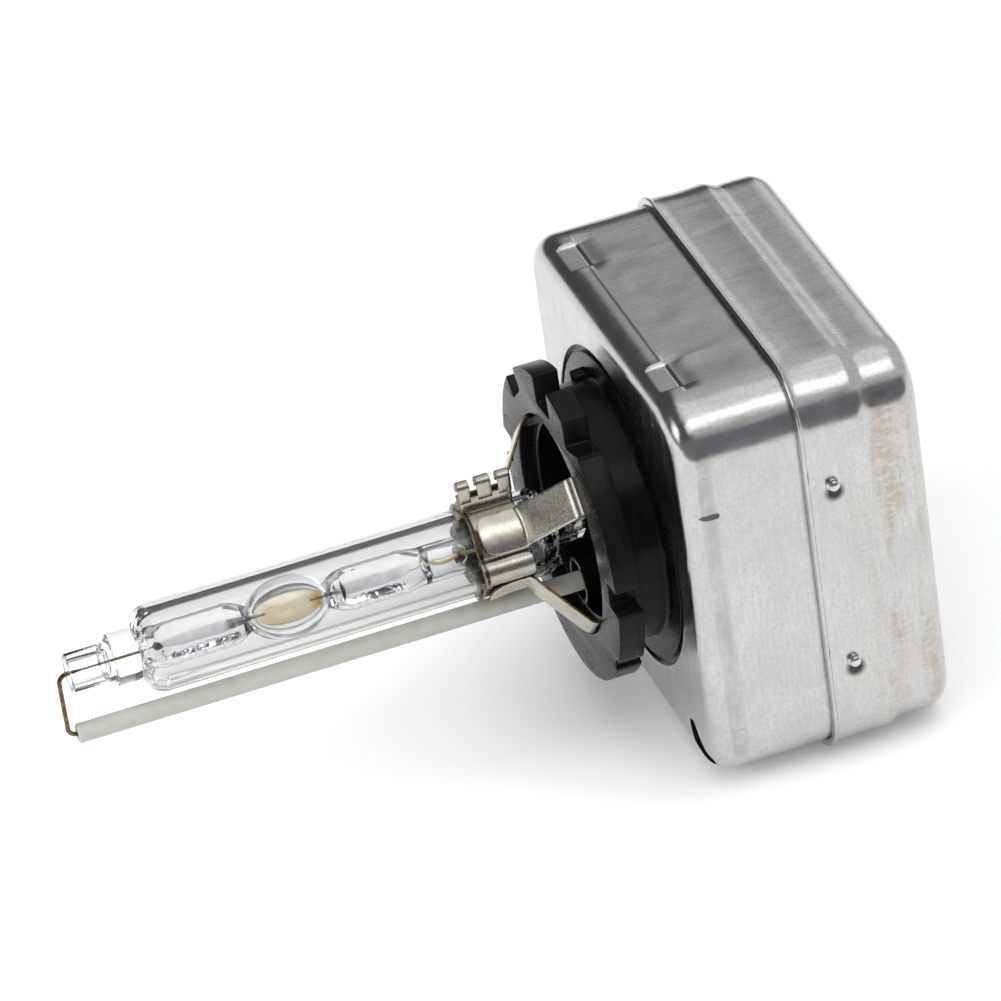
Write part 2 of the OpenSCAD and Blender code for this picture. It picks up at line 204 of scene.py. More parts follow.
def loft(name, rings, material, caps=(True, True), close=False, sharp=35):
    """A skin over rings of points. A cap closes an end with a fan round its middle."""
    count = len(rings[0])
    points = [p for ring in rings for p in ring]
    faces = ring_faces(len(rings), count, True, close)
    for end, wanted in zip((0, len(rings) - 1), caps):
        if wanted and not close:
            middle = sum((Vector(p) for p in rings[end]), Vector()) / count
            points.append(middle)
            hub = len(points) - 1
            for j in range(count):
                faces.append((end * count + j, end * count + (j + 1) % count, hub))
    return make_piece(name, points, faces, material, sharp)


def polar(radius, angle, cx=0.0, cy=0.0):
    """A point at an angle in radians from a centre."""
    return cx + radius * math.cos(angle), cy + radius * math.sin(angle)


def lathe(name, profile, material, steps=128, x=0.0, z=0.0, wobble=None, sharp=35):
    """Turns a profile of (radius, y) about a line parallel to Y.

    A profile that starts and ends on the axis makes a rod; any other one is closed on
    itself and makes a ring. wobble(radius, y, angle) gives a point's own radius and y.
    """
    solid = profile[0][0] < 1e-6 and profile[-1][0] < 1e-6
    turned = profile[1:-1] if solid else profile
    rings = []
    for radius, y in turned:
        ring = []
        for k in range(steps):
            angle = math.tau * k / steps
            r, v = wobble(radius, y, angle) if wobble else (radius, y)
            px, pz = polar(r, angle, x, z)
            ring.append((px, v, pz))
        rings.append(ring)
    return loft(name, rings, material, (solid, solid), not solid, sharp)


def arc_points(cx, cy, radius, start, end, steps):
    """Points of an arc, with its angles in degrees."""
    return [polar(radius, math.radians(start + (end - start) * k / steps), cx, cy)
            for k in range(steps + 1)]


def rounded(points, radius, steps=4, closed=True):
    """The same outline with its corners rounded. radius is one number or one a corner."""
    out = []
    count = len(points)
    for i, point in enumerate(points):
        r = radius[i] if isinstance(radius, (list, tuple)) else radius
        here = Vector(point)
        if r <= 0 or (not closed and i in (0, count - 1)):
            out.append(tuple(here))
            continue
        before = (Vector(points[i - 1]) - here).normalized()
        after = (Vector(points[(i + 1) % count]) - here).normalized()
        opening = before.angle(after)
        if opening > math.radians(176):
            out.append(tuple(here))
            continue
        reach = r / math.tan(opening / 2)
        nearest = min((Vector(points[i - 1]) - here).length,
                      (Vector(points[(i + 1) % count]) - here).length)
        reach = min(reach, nearest * 0.49)
        r = reach * math.tan(opening / 2)
        middle = here + (before + after).normalized() * (r / math.sin(opening / 2))
        first = here + before * reach - middle
        second = here + after * reach - middle
        turn = first.angle_signed(second)
        for k in range(steps + 1):
            a = -turn * k / steps
            out.append((middle.x + first.x * math.cos(a) - first.y * math.sin(a),
                        middle.y + first.x * math.sin(a) + first.y * math.cos(a)))
    return out


def plate(name, loops, y0, y1, bevel, material):
    """A flat plate from y0 to y1 with rounded edges. loops are outlines in X and Z."""
    curve = bpy.data.curves.new(name, "CURVE")
    curve.dimensions = "2D"
    curve.fill_mode = "BOTH"
    for loop in loops:
        spline = curve.splines.new("POLY")
        spline.points.add(len(loop) - 1)
        for point, (x, z) in zip(spline.points, loop):
            point.co = (x * MM, z * MM, 0, 1)
        spline.use_cyclic_u = True
    curve.extrude = ((y1 - y0) / 2 - bevel) * MM
    curve.bevel_depth = bevel * MM
    curve.bevel_resolution = 2
    curve.offset = -bevel * MM
    holder = put_in_scene(name + "_outline", curve)
    depsgraph = bpy.context.evaluated_depsgraph_get()
    mesh = bpy.data.meshes.new_from_object(holder.evaluated_get(depsgraph))
    bpy.data.objects.remove(holder)
    bpy.data.curves.remove(curve)
    lift = Matrix.Translation((0, (y0 + y1) / 2 * MM, 0))
    mesh.transform(lift @ Matrix.Rotation(math.pi / 2, 4, "X"))
    edit_mesh(mesh, lambda bm: bmesh.ops.remove_doubles(bm, verts=bm.verts, dist=0.002 * MM))
    return finish_piece(name, mesh, material)


def box_piece(low, high, name="cutter"):
    """A plain box, used only to cut other pieces."""
    points = [(x, y, z) for x in (low[0], high[0]) for y in (low[1], high[1])
              for z in (low[2], high[2])]
    faces = [(0, 1, 3, 2), (4, 6, 7, 5), (0, 4, 5, 1), (2, 3, 7, 6), (0, 2, 6, 4), (1, 5, 7, 3)]
    return make_piece(name, points, faces, None)


def apply_modifiers(piece, sharp=35):
    """Bakes the modifiers of a piece into its mesh."""
    depsgraph = bpy.context.evaluated_depsgraph_get()
    mesh = bpy.data.meshes.new_from_object(piece.evaluated_get(depsgraph))
    piece.modifiers.clear()
    piece.data = mesh
    shade(mesh, sharp)
    return piece


def combine(piece, others, operation="DIFFERENCE", sharp=35, keep_finish=False):
    """Cuts others out of a piece, or joins them to it. The cuts may keep their own finish."""
    for other in others:
        step = piece.modifiers.new(operation.lower(), "BOOLEAN")
        step.operation = operation
        step.solver = "EXACT"
        step.object = other
        if keep_finish:
            step.material_mode = "TRANSFER"
    apply_modifiers(piece, sharp)
    for other in others:
        bpy.data.objects.remove(other)
    return piece


def thicken(piece, thickness, offset, even=False):
    """Turns a surface into sheet."""
    sheet_step = piece.modifiers.new("sheet", "SOLIDIFY")
    sheet_step.thickness = thickness * MM
    sheet_step.offset = offset
    sheet_step.use_even_offset = even
    return sheet_step


def cut_sheet(piece, offset, edge_width, even=False):
    """Turns a surface into clamp sheet whose cut edges are darker and a little rounded."""
    piece.data.materials.append(sheet_edge)
    thicken(piece, clamp_t, offset, even).material_offset_rim = 1
    edge = piece.modifiers.new("edge", "BEVEL")
    edge.width = edge_width * MM
    edge.segments = 2
    edge.limit_method = "ANGLE"
    edge.angle_limit = math.radians(50)
    return apply_modifiers(piece, 40)


def join(piece, others):
    """Adds the meshes of others to a piece, each as a closed part of it."""
    edit_mesh(piece.data, lambda bm: [bm.from_mesh(other.data) for other in others])
    for other in others:
        bpy.data.objects.remove(other)
    return piece


def ramp(value, start, end):
    """0 before start, 1 after end and a straight line between."""
    return min(max((value - start) / (end - start), 0.0), 1.0)


def smooth(value, start, end):
    """The same with a soft start and end."""
    t = ramp(value, start, end)
    return t * t * (3 - 2 * t)


# ---- materials -------------------------------------------------------------------------


class Tree:
    """Makes the nodes and links of a shader tree with short calls."""

    def __init__(self, tree):
        self.tree = tree

    def feed(self, socket, value):
        """Links an output to a socket, or sets the socket to a number, vector or colour."""
        if isinstance(value, bpy.types.NodeSocket):
            self.tree.links.new(value, socket)
        elif socket.type == "RGBA" and len(value) == 3:
            socket.default_value = (*value, 1)
        else:
            socket.default_value = value

    def node(self, kind, inputs, **settings):
        """A new node with its settings and what goes into its sockets."""
        made = self.tree.nodes.new(kind)
        for key, value in settings.items():
            setattr(made, key, value)
        for key, value in inputs.items():
            self.feed(made.inputs[key], value)
        return made

    def stops(self, factor, *stops):
        """A colour ramp: each stop is (place, colour or grey)."""
        made = self.node("ShaderNodeValToRGB", {"Fac": factor})
        elements = made.color_ramp.elements
        while len(elements) < len(stops):
            elements.new(0.5)
        for element, (place, colour) in zip(elements, stops):
            element.position = place
            element.color = (*colour, 1) if isinstance(colour, tuple) else (*[colour] * 3, 1)
        return made.outputs["Color"]

    def math(self, operation, a, b=0.0):
        return self.node("ShaderNodeMath", {0: a, 1: b}, operation=operation).outputs[0]

    def part(self, vector, axis):
        """One axis of a vector."""
        return self.node("ShaderNodeSeparateXYZ", {0: vector}).outputs[axis]

    def map_range(self, value, low, high, top=1.0, kind="LINEAR"):
        """0 to top while a value runs from low to high."""
        inputs = {"Value": value, "From Min": low, "From Max": high, "To Max": top}
        return self.node("ShaderNodeMapRange", inputs, interpolation_type=kind).outputs[0]


class Nodes(Tree):
    """The nodes of a new material."""

    def __init__(self, name):
        self.material = bpy.data.materials.new(name)
        self.material.use_nodes = True
        super().__init__(self.material.node_tree)
        self.surface = self.tree.nodes["Principled BSDF"]
        self.place = self.node("ShaderNodeTexCoord", {}).outputs["Object"]

    def set(self, **values):
        """Sets or links the shader's own sockets."""
        for key, value in values.items():
            self.feed(self.surface.inputs[key.replace("_", " ")], value)

    def noise(self, scale, detail=4.0, rough=0.5, stretch=(1, 1, 1), distortion=0.0):
        """Noise with a number of waves in a millimetre."""
        spread = self.node("ShaderNodeMapping", {"Vector": self.place, "Scale": stretch})
        inputs = {"Vector": spread.outputs[0], "Scale": scale / MM, "Detail": detail,
                  "Roughness": rough, "Distortion": distortion}
        return self.node("ShaderNodeTexNoise", inputs).outputs["Fac"]

    def drift(self, factor, low, high):
        """Runs from low to high over the middle of a noise's range."""
        return self.stops(factor, (0.3, low), (0.7, high))

    def mix(self, factor, a, b):
        return self.node("ShaderNodeMix", {0: factor, 6: a, 7: b}, data_type="RGBA").outputs[2]

    def times(self, product, *factors):
        """The product of all factors."""
        for factor in factors:
            product = self.math("MULTIPLY", product, factor)
        return product

    def bump(self, height, depth, strength=1.0, under=None):
        """Relief that is depth millimetres deep."""
        inputs = {"Height": height, "Distance": depth * MM, "Strength": strength}
        if under:
            inputs["Normal"] = under
        normal = self.node("ShaderNodeBump", inputs).outputs["Normal"]
        self.set(Normal=normal)
        return normal

    def axis_mask(self, axis, start, end):
        """1 where the surface faces along an axis, 0 where it faces across it."""
        normal = self.node("ShaderNodeTexCoord", {}).outputs["Normal"]
        return self.map_range(self.math("ABSOLUTE", self.part(normal, axis)), start, end)

    def coordinate(self, axis, start, end):
        """0 to 1 along an axis between two places in millimetres."""
        return self.map_range(self.part(self.place, axis), start * MM, end * MM,
                              kind="SMOOTHSTEP")

    def spots(self, y, z, drop, core, edge):
        """1 in round spots a little below each rivet, fading to 0 at their edge: the mask of the
        painted rivet shadows.
        """
        nearest = None
        for side in (-1, 1):
            away = [self.math("SUBTRACT", self.part(self.place, axis), at * MM)
                    for axis, at in (("Y", y), ("Z", side * z - drop))]
            gap = self.math("SQRT", self.math("ADD", *[self.times(a, a) for a in away]))
            nearest = self.math("MINIMUM", nearest, gap) if nearest else gap
        return self.map_range(nearest, edge * MM, core * MM, 0.96, "SMOOTHSTEP")


def drawn_steel(name, stains_and_rivet_shadows):
    """Tin-plated steel sheet with fine brush lines; on the cover tan storage stains and a painted
    shadow below each rivet.
    """
    m = Nodes(name)
    side_lines = m.noise(2.7, 2, 0.6, (1, 1.3, 0.13))
    top_lines = m.noise(2.7, 2, 0.6, (1.3, 0.09, 1))
    lines = m.mix(m.axis_mask("Z", 0.08, 0.22), side_lines, top_lines)
    grain = m.noise(2.6, 2, 0.6)
    clouds = m.noise(0.12, 4, 0.6, distortion=0.8)
    base = m.drift(clouds, (0.545, 0.545, 0.535), (0.64, 0.635, 0.615))
    base = m.mix(m.stops(lines, (0.35, 0.0), (0.68, 0.36)), base, (0.43, 0.425, 0.41))
    base = m.mix(m.stops(grain, (0.42, 0.0), (0.72, 0.42)), base, (0.40, 0.39, 0.37))
    if stains_and_rivet_shadows:
        streaks = m.noise(0.5, 4, 0.7, (1, 1, 0.16), 0.5)
        flecks = m.noise(1.4, 3, 0.7, (1, 0.6, 1.8))
        spread = m.times(m.stops(streaks, (0.42, 0.0), (0.60, 1.0)), m.coordinate("Y", 21, 27),
                         m.axis_mask("X", 0.75, 0.95), m.stops(flecks, (0.38, 0.1), (0.58, 1.0)),
                         0.65)
        base = m.mix(spread, base, (0.38, 0.31, 0.235))
        # painted shadow: the cover is darkened to near black in a round spot a little below each
        # rivet
        rivet_shadow = m.spots(rivet_y + 0.1, rivet_z, 0.95, 0.5, 1.3)
        base = m.mix(rivet_shadow, base, (0.03, 0.034, 0.038))
    else:
        strip = m.times(m.coordinate("Y", 7.7, 8.1), m.coordinate("Y", 9.8, 8.9),
                        m.axis_mask("X", 0.9, 0.98),
                        m.stops(m.noise(0.25, 3, 0.6), (0.35, 0.15), (0.6, 0.75)))
        base = m.mix(strip, base, (0.36, 0.36, 0.355))
    wear = m.noise(0.5, 5, 0.65, (1, 1, 0.5))
    m.set(Metallic=1.0, Base_Color=base, Roughness=m.drift(wear, 0.17, 0.28))
    m.bump(grain, 0.005, 0.5, m.bump(lines, 0.008, 0.6))
    return m.material


def clamp_steel(name, shade):
    """Nickel-plated spring steel, a little tarnished; a shade below 1 darkens it as painted shade.
    """
    m = Nodes(name)
    patches = m.noise(0.5, 5, 0.6, distortion=0.5)
    tarnish = m.noise(1.6, 4, 0.7)
    grain = m.noise(4.0, 2, 0.6)
    base = m.drift(patches, (0.50, 0.47, 0.415), (0.64, 0.61, 0.55))
    # painted shade: a shade below 1 darkens the whole metal towards dark brown
    base = m.mix(1 - shade, base, (0.10, 0.085, 0.065))
    base = m.mix(m.stops(tarnish, (0.60, 0.0), (0.76, 0.45)), base, (0.28, 0.22, 0.16))
    m.set(Metallic=1.0, Base_Color=base, Roughness=m.drift(grain, 0.20, 0.32))
    m.bump(grain, 0.005, 0.4)
    return m.material


def black_plastic(name, grey, rough, grain_depth=0.012):
    """Glass-filled black plastic with a fine satin grain."""
    m = Nodes(name)
    grain = m.noise(4.0, 2, 0.6)
    m.set(Specular_IOR_Level=0.13, Roughness=m.drift(grain, rough - 0.07, rough + 0.09),
          Base_Color=m.drift(m.noise(0.35, 4, 0.6), grey * 0.7, grey * 1.5))
    m.bump(grain, grain_depth, 0.6)
    return m.material


def quartz(name, waviness, tint=(0.985, 0.99, 1.0)):
    """Clear glass with a slow unevenness."""
    m = Nodes(name)
    m.set(Transmission_Weight=1.0, IOR=1.46, Roughness=0.0, Base_Color=tint)
    m.bump(m.noise(0.35, 3, 0.5, (1, 0.35, 1)), waviness)
    return m.material


def salt_film(name):
    """The wall of the arc chamber with a thin tan film of metal salts, thicker at its rear."""
    m = Nodes(name)
    film = m.drift(m.noise(0.45, 4, 0.6, distortion=0.4), (0.93, 0.86, 0.72), (0.80, 0.64, 0.40))
    film = m.mix(m.coordinate("Y", -26.3, -25.3), film, (0.62, 0.42, 0.08))
    m.set(Transmission_Weight=1.0, IOR=1.46, Roughness=0.06, Base_Color=film)
    return m.material


def frosted_rim(name):
    """The lower rim of the pinched seals: crazed quartz that looks silvery."""
    m = Nodes(name)
    flecks = m.noise(3.5, 4, 0.7, (1, 0.5, 1))
    m.set(IOR=1.46, Transmission_Weight=0.45, Roughness=m.drift(flecks, 0.12, 0.35),
          Base_Color=m.stops(flecks, (0.36, (0.35, 0.37, 0.40)), (0.46, (0.97, 0.98, 1.0))))
    m.bump(m.noise(2.0, 4, 0.7), 0.08, 0.9)
    return m.material


def crazed(name):
    """Gas trapped in the pinched rim: a bright mirror broken up by fine dark lines."""
    m = Nodes(name)
    lines = m.noise(1.7, 4, 0.75, (1, 0.35, 1), 0.6)
    base = m.stops(lines, (0.40, (0.97, 0.98, 0.99)), (0.49, (0.92, 0.93, 0.94)),
                   (0.54, (0.06, 0.065, 0.07)))
    m.set(Metallic=0.85, Base_Color=base, Roughness=m.drift(lines, 0.06, 0.3))
    m.bump(m.noise(1.8, 3, 0.6, (1, 0.5, 1)), 0.12, 0.9)
    return m.material


def plain(name, low, high, rough=(0.3, 0.5), metallic=0.0, scale=1.0, depth=0.01, **values):
    """A material whose colour and roughness drift between two values over a fine grain."""
    m = Nodes(name)
    grain = m.noise(scale * 4, 3, 0.6)
    m.set(Metallic=metallic, Base_Color=m.drift(m.noise(scale * 0.3, 4, 0.6), low, high),
          Roughness=m.drift(grain, *rough), **values)
    m.bump(grain, depth, 0.6)
    return m.material


shell_steel = drawn_steel("shell_steel", False)
cover_steel = drawn_steel("cover_steel", True)
# near-black finish for the slit's cut walls: painted shade
slit_shade_black = plain("slit_shade_black", 0.004, (0.008, 0.008, 0.009), (0.6, 0.8), Specular_IOR_Level=0.1)
rivet_steel = plain("rivet_steel", (0.55, 0.54, 0.52), (0.75, 0.74, 0.72), (0.14, 0.26), 1.0, 3)
nickel = clamp_steel("nickel_steel", 1.0)
# the band's copy of the clamp steel, darkened as painted shade
shaded_band_nickel = clamp_steel("shaded_band_nickel", 0.72)
sheet_edge = plain("sheet_edge", (0.10, 0.065, 0.03), (0.30, 0.21, 0.11), (0.25, 0.4), 1.0, 3)
ring_plastic = black_plastic("ring_plastic", 0.0045, 0.27, 0.010)
housing_plastic = black_plastic("housing_plastic", 0.0035, 0.23, 0.005)
# painted shade: the sleeve's grey tint darkens everything seen through it
sleeve_glass = quartz("sleeve_glass", 0.010, (0.826, 0.830, 0.826))
tube_glass = quartz("tube_glass", 0.02)
bead_glass = quartz("bead_glass", 0.03, (0.96, 0.88, 0.60))
salted_glass = salt_film("salted_glass")
rim_glass = frosted_rim("rim_glass")
rim_silver = crazed("rim_silver")
ceramic = plain("ceramic", (0.42, 0.415, 0.38), (0.485, 0.48, 0.44), (0.42, 0.55), 0.0, 2, 0.01,
                Specular_IOR_Level=0.4)
wire_metal = plain("wire_metal", (0.07, 0.045, 0.03), (0.22, 0.155, 0.09), (0.14, 0.3), 1.0, 3)
gilt_wire = plain("gilt_wire", (0.62, 0.50, 0.28), (0.85, 0.78, 0.58), (0.25, 0.4), 0.7, 3)
tungsten = plain("tungsten", (0.30, 0.30, 0.31), (0.45, 0.45, 0.46), (0.25, 0.4), 1.0, 4)
foil_metal = plain("foil_metal", (0.47, 0.475, 0.48), (0.58, 0.58, 0.59), (0.32, 0.5), 0.6, 4)
brass = plain("brass", (0.62, 0.45, 0.20), (0.75, 0.56, 0.28), (0.2, 0.35), 1.0, 3)


# ---- metal case ------------------------------------------------------------------------

SIDES = [(Vector((math.cos(a), math.sin(a))), Vector((-math.sin(a), math.cos(a))))
         for a in (0, math.pi / 2, math.pi, 3 * math.pi / 2)]


def side_stations():
    """Places along a flat side, closer together where the dents begin and end."""
    marks = set()
    for sign in (-1, 1):
        for end in (dent_at - dent_len / 2, dent_at + dent_len / 2):
            inner = 1 if end < dent_at else -1
            for step in (-0.5, -0.2, -0.05, 0.05, 0.3, 0.5, dent_wall - 0.05, dent_wall + 0.05,
                         dent_wall + 0.3):
                marks.add(round(sign * (end + inner * step), 3))
    count = 44
    for k in range(count + 1):
        t = -flat_half + 2 * flat_half * k / count
        if all(abs(t - m) > 0.2 for m in marks):
            marks.add(round(t, 3))
    marks.update((-flat_half, flat_half))
    return sorted(m for m in marks if abs(m) <= flat_half)


def perimeter():
    """Columns round the case: the side they belong to, its place t and the corner angle."""
    columns = []
    for normal, tangent in SIDES:
        for t in side_stations():
            columns.append((normal, tangent, t, None))
        for k in range(1, 14):
            columns.append((normal, tangent, flat_half, math.radians(90 * k / 14)))
    return columns


COLUMNS = perimeter()


def case_point(column, half):
    """The point of a column on a rounded square whose flat sides are half from the axis."""
    normal, tangent, t, angle = column
    if angle is None:
        return normal * half + tangent * t
    r = half - flat_half
    centre = (normal + tangent) * flat_half
    return centre + normal * (r * math.cos(angle)) + tangent * (r * math.sin(angle))


def case_ring(half, y, scale=1.0, columns=COLUMNS):
    """All columns of such a square, drawn in towards the axis by scale."""
    return [(p.x * scale, y, p.y * scale) for p in (case_point(c, half) for c in columns)]


def dent_shape(t, y, line_y):
    """How far the side is pressed in, and how far the metal behind the dent stands up."""
    place = abs(t) - dent_at
    start = 1 - ramp(abs(place), dent_len / 2 - dent_wall, dent_len / 2)
    press = start * (1 - ramp(y, dent_rear - 0.25, dent_rear))
    wide = smooth(dent_len / 2 + 0.9 - abs(place), 0, 1.3)
    swell = (wide * smooth(y, dent_rear - 0.3, dent_rear)
             * (1 - smooth(y, dent_rear, dent_rear + 1.9)))
    between = smooth(dent_at - dent_len / 2 - abs(t), -0.2, 0.6)
    line = between * (1 - ramp(y, line_y - 0.1, line_y + 0.02)) * smooth(y, 7.2, 8.0)
    return press, swell, line


def oil_can(x, y, z, amount):
    """A slow unevenness of drawn sheet metal, in millimetres."""
    return amount * (noise.noise(Vector((x, y * 1.3, z)) * 0.16)
                     + 0.35 * noise.noise(Vector((x, y, z)) * 0.45 + Vector((7, 3, 5))))


def shell_point(column, half, y):
    """A point of the front shell, with the stamped dents and the die line."""
    normal, tangent, t, angle = column
    point = case_point(column, half)
    if angle is None and half > case_half - edge_r:
        upright = abs(normal.y) > 0.5
        press, swell, line = dent_shape(t, y, 9.25 if upright else 8.3)
        side_depth = side_dent_upper if t * tangent.y > 0 else side_dent_lower
        floor = case_half - (dent_depth if upright else side_depth) * press
        height = min(half, floor) if press > 0 else half
        height -= (top_swell if upright else side_swell) * swell + die_line * line
        away = smooth(flat_half - abs(t), 0, 4) * smooth(y, 8.6, 12)
        height -= abs(oil_can(*(normal * half + tangent * t), y, 0.12)) * away
        point = normal * height + tangent * t
    elif angle is not None:
        return uneven(column, half, y, 0.07 * smooth(y, 9, 12))
    return (point.x, y, point.y)


def uneven(column, half, y, amount):
    """A point of the case that is pressed in a little here and there."""
    point = case_point(column, half)
    inward = abs(noise.noise(Vector((point.x * 0.5, y * 0.28, point.y * 0.5)))) * amount
    point = point - point.normalized() * inward
    return (point.x, y, point.y)


def circle_point(column, radius):
    """The point of a column on a circle."""
    return case_point(column, case_half - edge_r).normalized() * radius


def case_rings():
    """Rings of the front shell from the hole's rim over the front edge to the can's end."""
    outer = []
    rim = 0.15
    for radius, y in ((hole_r, case_front + sheet), (hole_r, case_front + rim),
                      (hole_r + 0.05, case_front + 0.04), (hole_r + rim, case_front)):
        outer.append([(p.x, y, p.y) for p in (circle_point(c, radius) for c in COLUMNS)])
    flat = case_half - edge_r
    for k in range(1, 12):
        blend = k / 12
        ring = []
        for c in COLUMNS:
            p = circle_point(c, hole_r + rim).lerp(case_point(c, flat), blend)
            ring.append((p.x, case_front, p.y))
        outer.append(ring)
    for k in range(17):
        a = math.pi / 2 * k / 16
        half, y = flat + edge_r * math.sin(a), case_front + edge_r * (1 - math.cos(a))
        outer.append([shell_point(c, half, y) for c in COLUMNS])
    for y in (8.8, 9.0, 9.15, 9.27, 9.35, 9.45, 9.55, 9.7, 9.85, 10.1, 10.4, 10.8, 11.2, 11.6, 12.2,
              13, 14, 15, 16, 17, 18, 19, 20.5, 22, can_end):
        outer.append([shell_point(c, case_half, y) for c in COLUMNS])
    return outer


def build_front_shell():
    """The drawn shell, cut open for the socket and for the slit in its corner."""
    shell = loft("formed_front_shell", case_rings(), shell_steel, (False, False))
    thicken(shell, sheet, -1, True)
    apply_modifiers(shell)
    combine(shell, [socket_window()])
    # the slit's walls keep the cutter's near-black finish: painted shade in the slit
    combine(shell, [slit_cutter()], keep_finish=True)
    return declare(shell, "case_metal", "front_shell")


def socket_window():
    """The opening for the connector socket in the far side of the case."""
    gap = Vector((0, 0.08, 0.08))
    return box_piece(Vector((-lip_out - 2, *socket_low.yz)) - gap,
                     Vector((socket_low.x + 4, *socket_high.yz)) + gap)


def slit_cutter():
    """The curved slit in the lower corner of the front face; its cut walls get a near-black finish
    as painted shade.
    """
    middle = catmull([(14.1, -16.6), (14.4, -17.4), (15.0, -18.25), (16.0, -18.8),
                      (17.2, -19.0), (18.7, -18.9)], 6)
    count = len(middle)
    wide, narrow = 1.2, 0.85
    left, right = [], []
    for i, point in enumerate(middle):
        ahead = middle[min(i + 1, count - 1)] - middle[max(i - 1, 0)]
        side = Vector((-ahead.y, ahead.x)).normalized()
        width = wide - (wide - narrow) * i / (count - 1)
        width *= math.sin(math.pi * (i + 0.6) / (count + 0.2)) ** 0.4
        left.append(point + side * width)
        right.append(point - side * width)
    outline = left + right[::-1]
    rings = [[(p.x, y, p.y) for p in outline] for y in (case_front - 1, case_front + 3)]
    return loft("slit", rings, slit_shade_black)


def catmull(points, steps):
    """A smooth line through the points."""
    out = []
    for i in range(len(points) - 1):
        p0, p1 = Vector(points[max(i - 1, 0)]), Vector(points[i])
        p2, p3 = Vector(points[i + 1]), Vector(points[min(i + 2, len(points) - 1)])
        for k in range(steps):
            t = k / steps
            out.append(0.5 * ((2 * p1) + (p2 - p0) * t + (2 * p0 - 5 * p1 + 4 * p2 - p3) * t * t
                              + (3 * p1 - p0 - 3 * p2 + p3) * t ** 3))
    out.append(Vector(points[-1]))
    return out


def build_rear_cover():
    """The cover is a drawn box with a rolled lip, a joggle and a rounded closed end."""
    inner_half = case_half + 0.05
    outer = [(inner_half, lip_y + 0.15), (inner_half + 0.1, lip_y + 0.03),
             (cover_out - 0.1, lip_y), (lip_out - 0.08, lip_y + 0.04), (lip_out, lip_y + 0.13),
             (lip_out - 0.02, lip_y + 0.26), (lip_out - 0.1, lip_y + 0.37),
             (cover_out + 0.05, lip_y + 0.46), (cover_out, lip_y + 0.58)]
    waist = 0.09
    outer += [(cover_out - waist * math.sin(math.pi * (y - 18.9) / 5.3), y)
              for y in (19.4, 20.2, 21.0, 21.8, 22.6, 23.3)]
    joggle = joggle_y - 0.3
    outer += [(cover_out + (case_half - cover_out) * smooth(t, 0, 1),
               joggle + (joggle_end - joggle) * t) for t in (k / 8 for k in range(9))]
    outer += [(case_half, y) for y in (26.4, 27.2, 28.0)]
    face = case_half - edge_r
    outer += [polar(edge_r, math.radians(a), face, case_rear - edge_r) for a in range(6, 91, 7)]
    rings = []
    for half, y in outer:
        dull = 0.06 * smooth(y, 19, 21) * (1 - smooth(y, 27.5, 28.5))
        rings.append([uneven(c, half, y, dull) for c in COLUMNS])
    crown = 0.12
    rings += [case_ring(face, case_rear - crown * (1 - scale) ** 0.5, scale)
              for scale in (0.94, 0.85, 0.7, 0.5, 0.3, 0.12)]
    skin_front = len(rings)
    back = case_rear - sheet
    inner = [case_ring(face, back, scale) for scale in (0.12, 0.5, 0.9)]
    in_half = case_half - sheet
    inner += [case_ring(half, y)
              for half, y in arc_points(face, back - edge_r + sheet, edge_r - sheet, 90, 0, 6)]
    inner += [case_ring(half, y)
              for half, y in ((in_half, 25.5), (inner_half, 24.4), (inner_half, 21.0))]
    count = len(COLUMNS)
    points = [p for ring in rings + inner for p in ring]
    faces = ring_faces(skin_front, count)
    faces += [tuple(i + skin_front * count for i in f) for f in ring_faces(len(inner), count)]
    total = len(rings) + len(inner)
    for j in range(count):
        nxt = (j + 1) % count
        faces.append(((total - 1) * count + j, (total - 1) * count + nxt, nxt, j))
    for ring, y in ((skin_front - 1, case_rear - crown), (skin_front, back)):
        points.append((0, y, 0))
        for j in range(count):
            faces.append((ring * count + j, ring * count + (j + 1) % count, len(points) - 1))
    cover = make_piece("formed_rear_cover", points, faces, cover_steel)
    combine(cover, [socket_window()])
    return declare(cover, "case_metal", "rear_cover")


def build_rivets():
    """Four short pins: a base flange, a narrow neck and a domed head."""
    base = cover_out
    head, top = 0.56, cover_out + 0.66
    profile = [(0, 18.6), (0.5, 18.6), (0.5, base - 0.2), (0.64, base - 0.14), (0.66, base + 0.08),
               (0.60, base + 0.15), (0.44, base + 0.20), (0.43, base + 0.28), (head, base + 0.36)]
    profile += [(head * math.cos(math.radians(a)), base + 0.38 + 0.28 * math.sin(math.radians(a)))
                for a in range(0, 90, 10)] + [(0, top)]
    pins = []
    for sx in (-1, 1):
        for sz in (-1, 1):
            pin = lathe("pin", profile, None, 40)
            turn = Matrix.Rotation(-sx * math.pi / 2, 4, "Z")
            pin.data.transform(Matrix.Translation(Vector((0, rivet_y, sz * rivet_z)) * MM) @ turn)
            pins.append(pin)
    rivets = join(pins[0], pins[1:])
    rivets.name = "domed_cover_rivets"
    rivets.data.materials.append(rivet_steel)
    shade(rivets.data, 40)
    return declare(rivets, "rivet_metal", "cover_rivets")


# ---- base ------------------------------------------------------------------------------


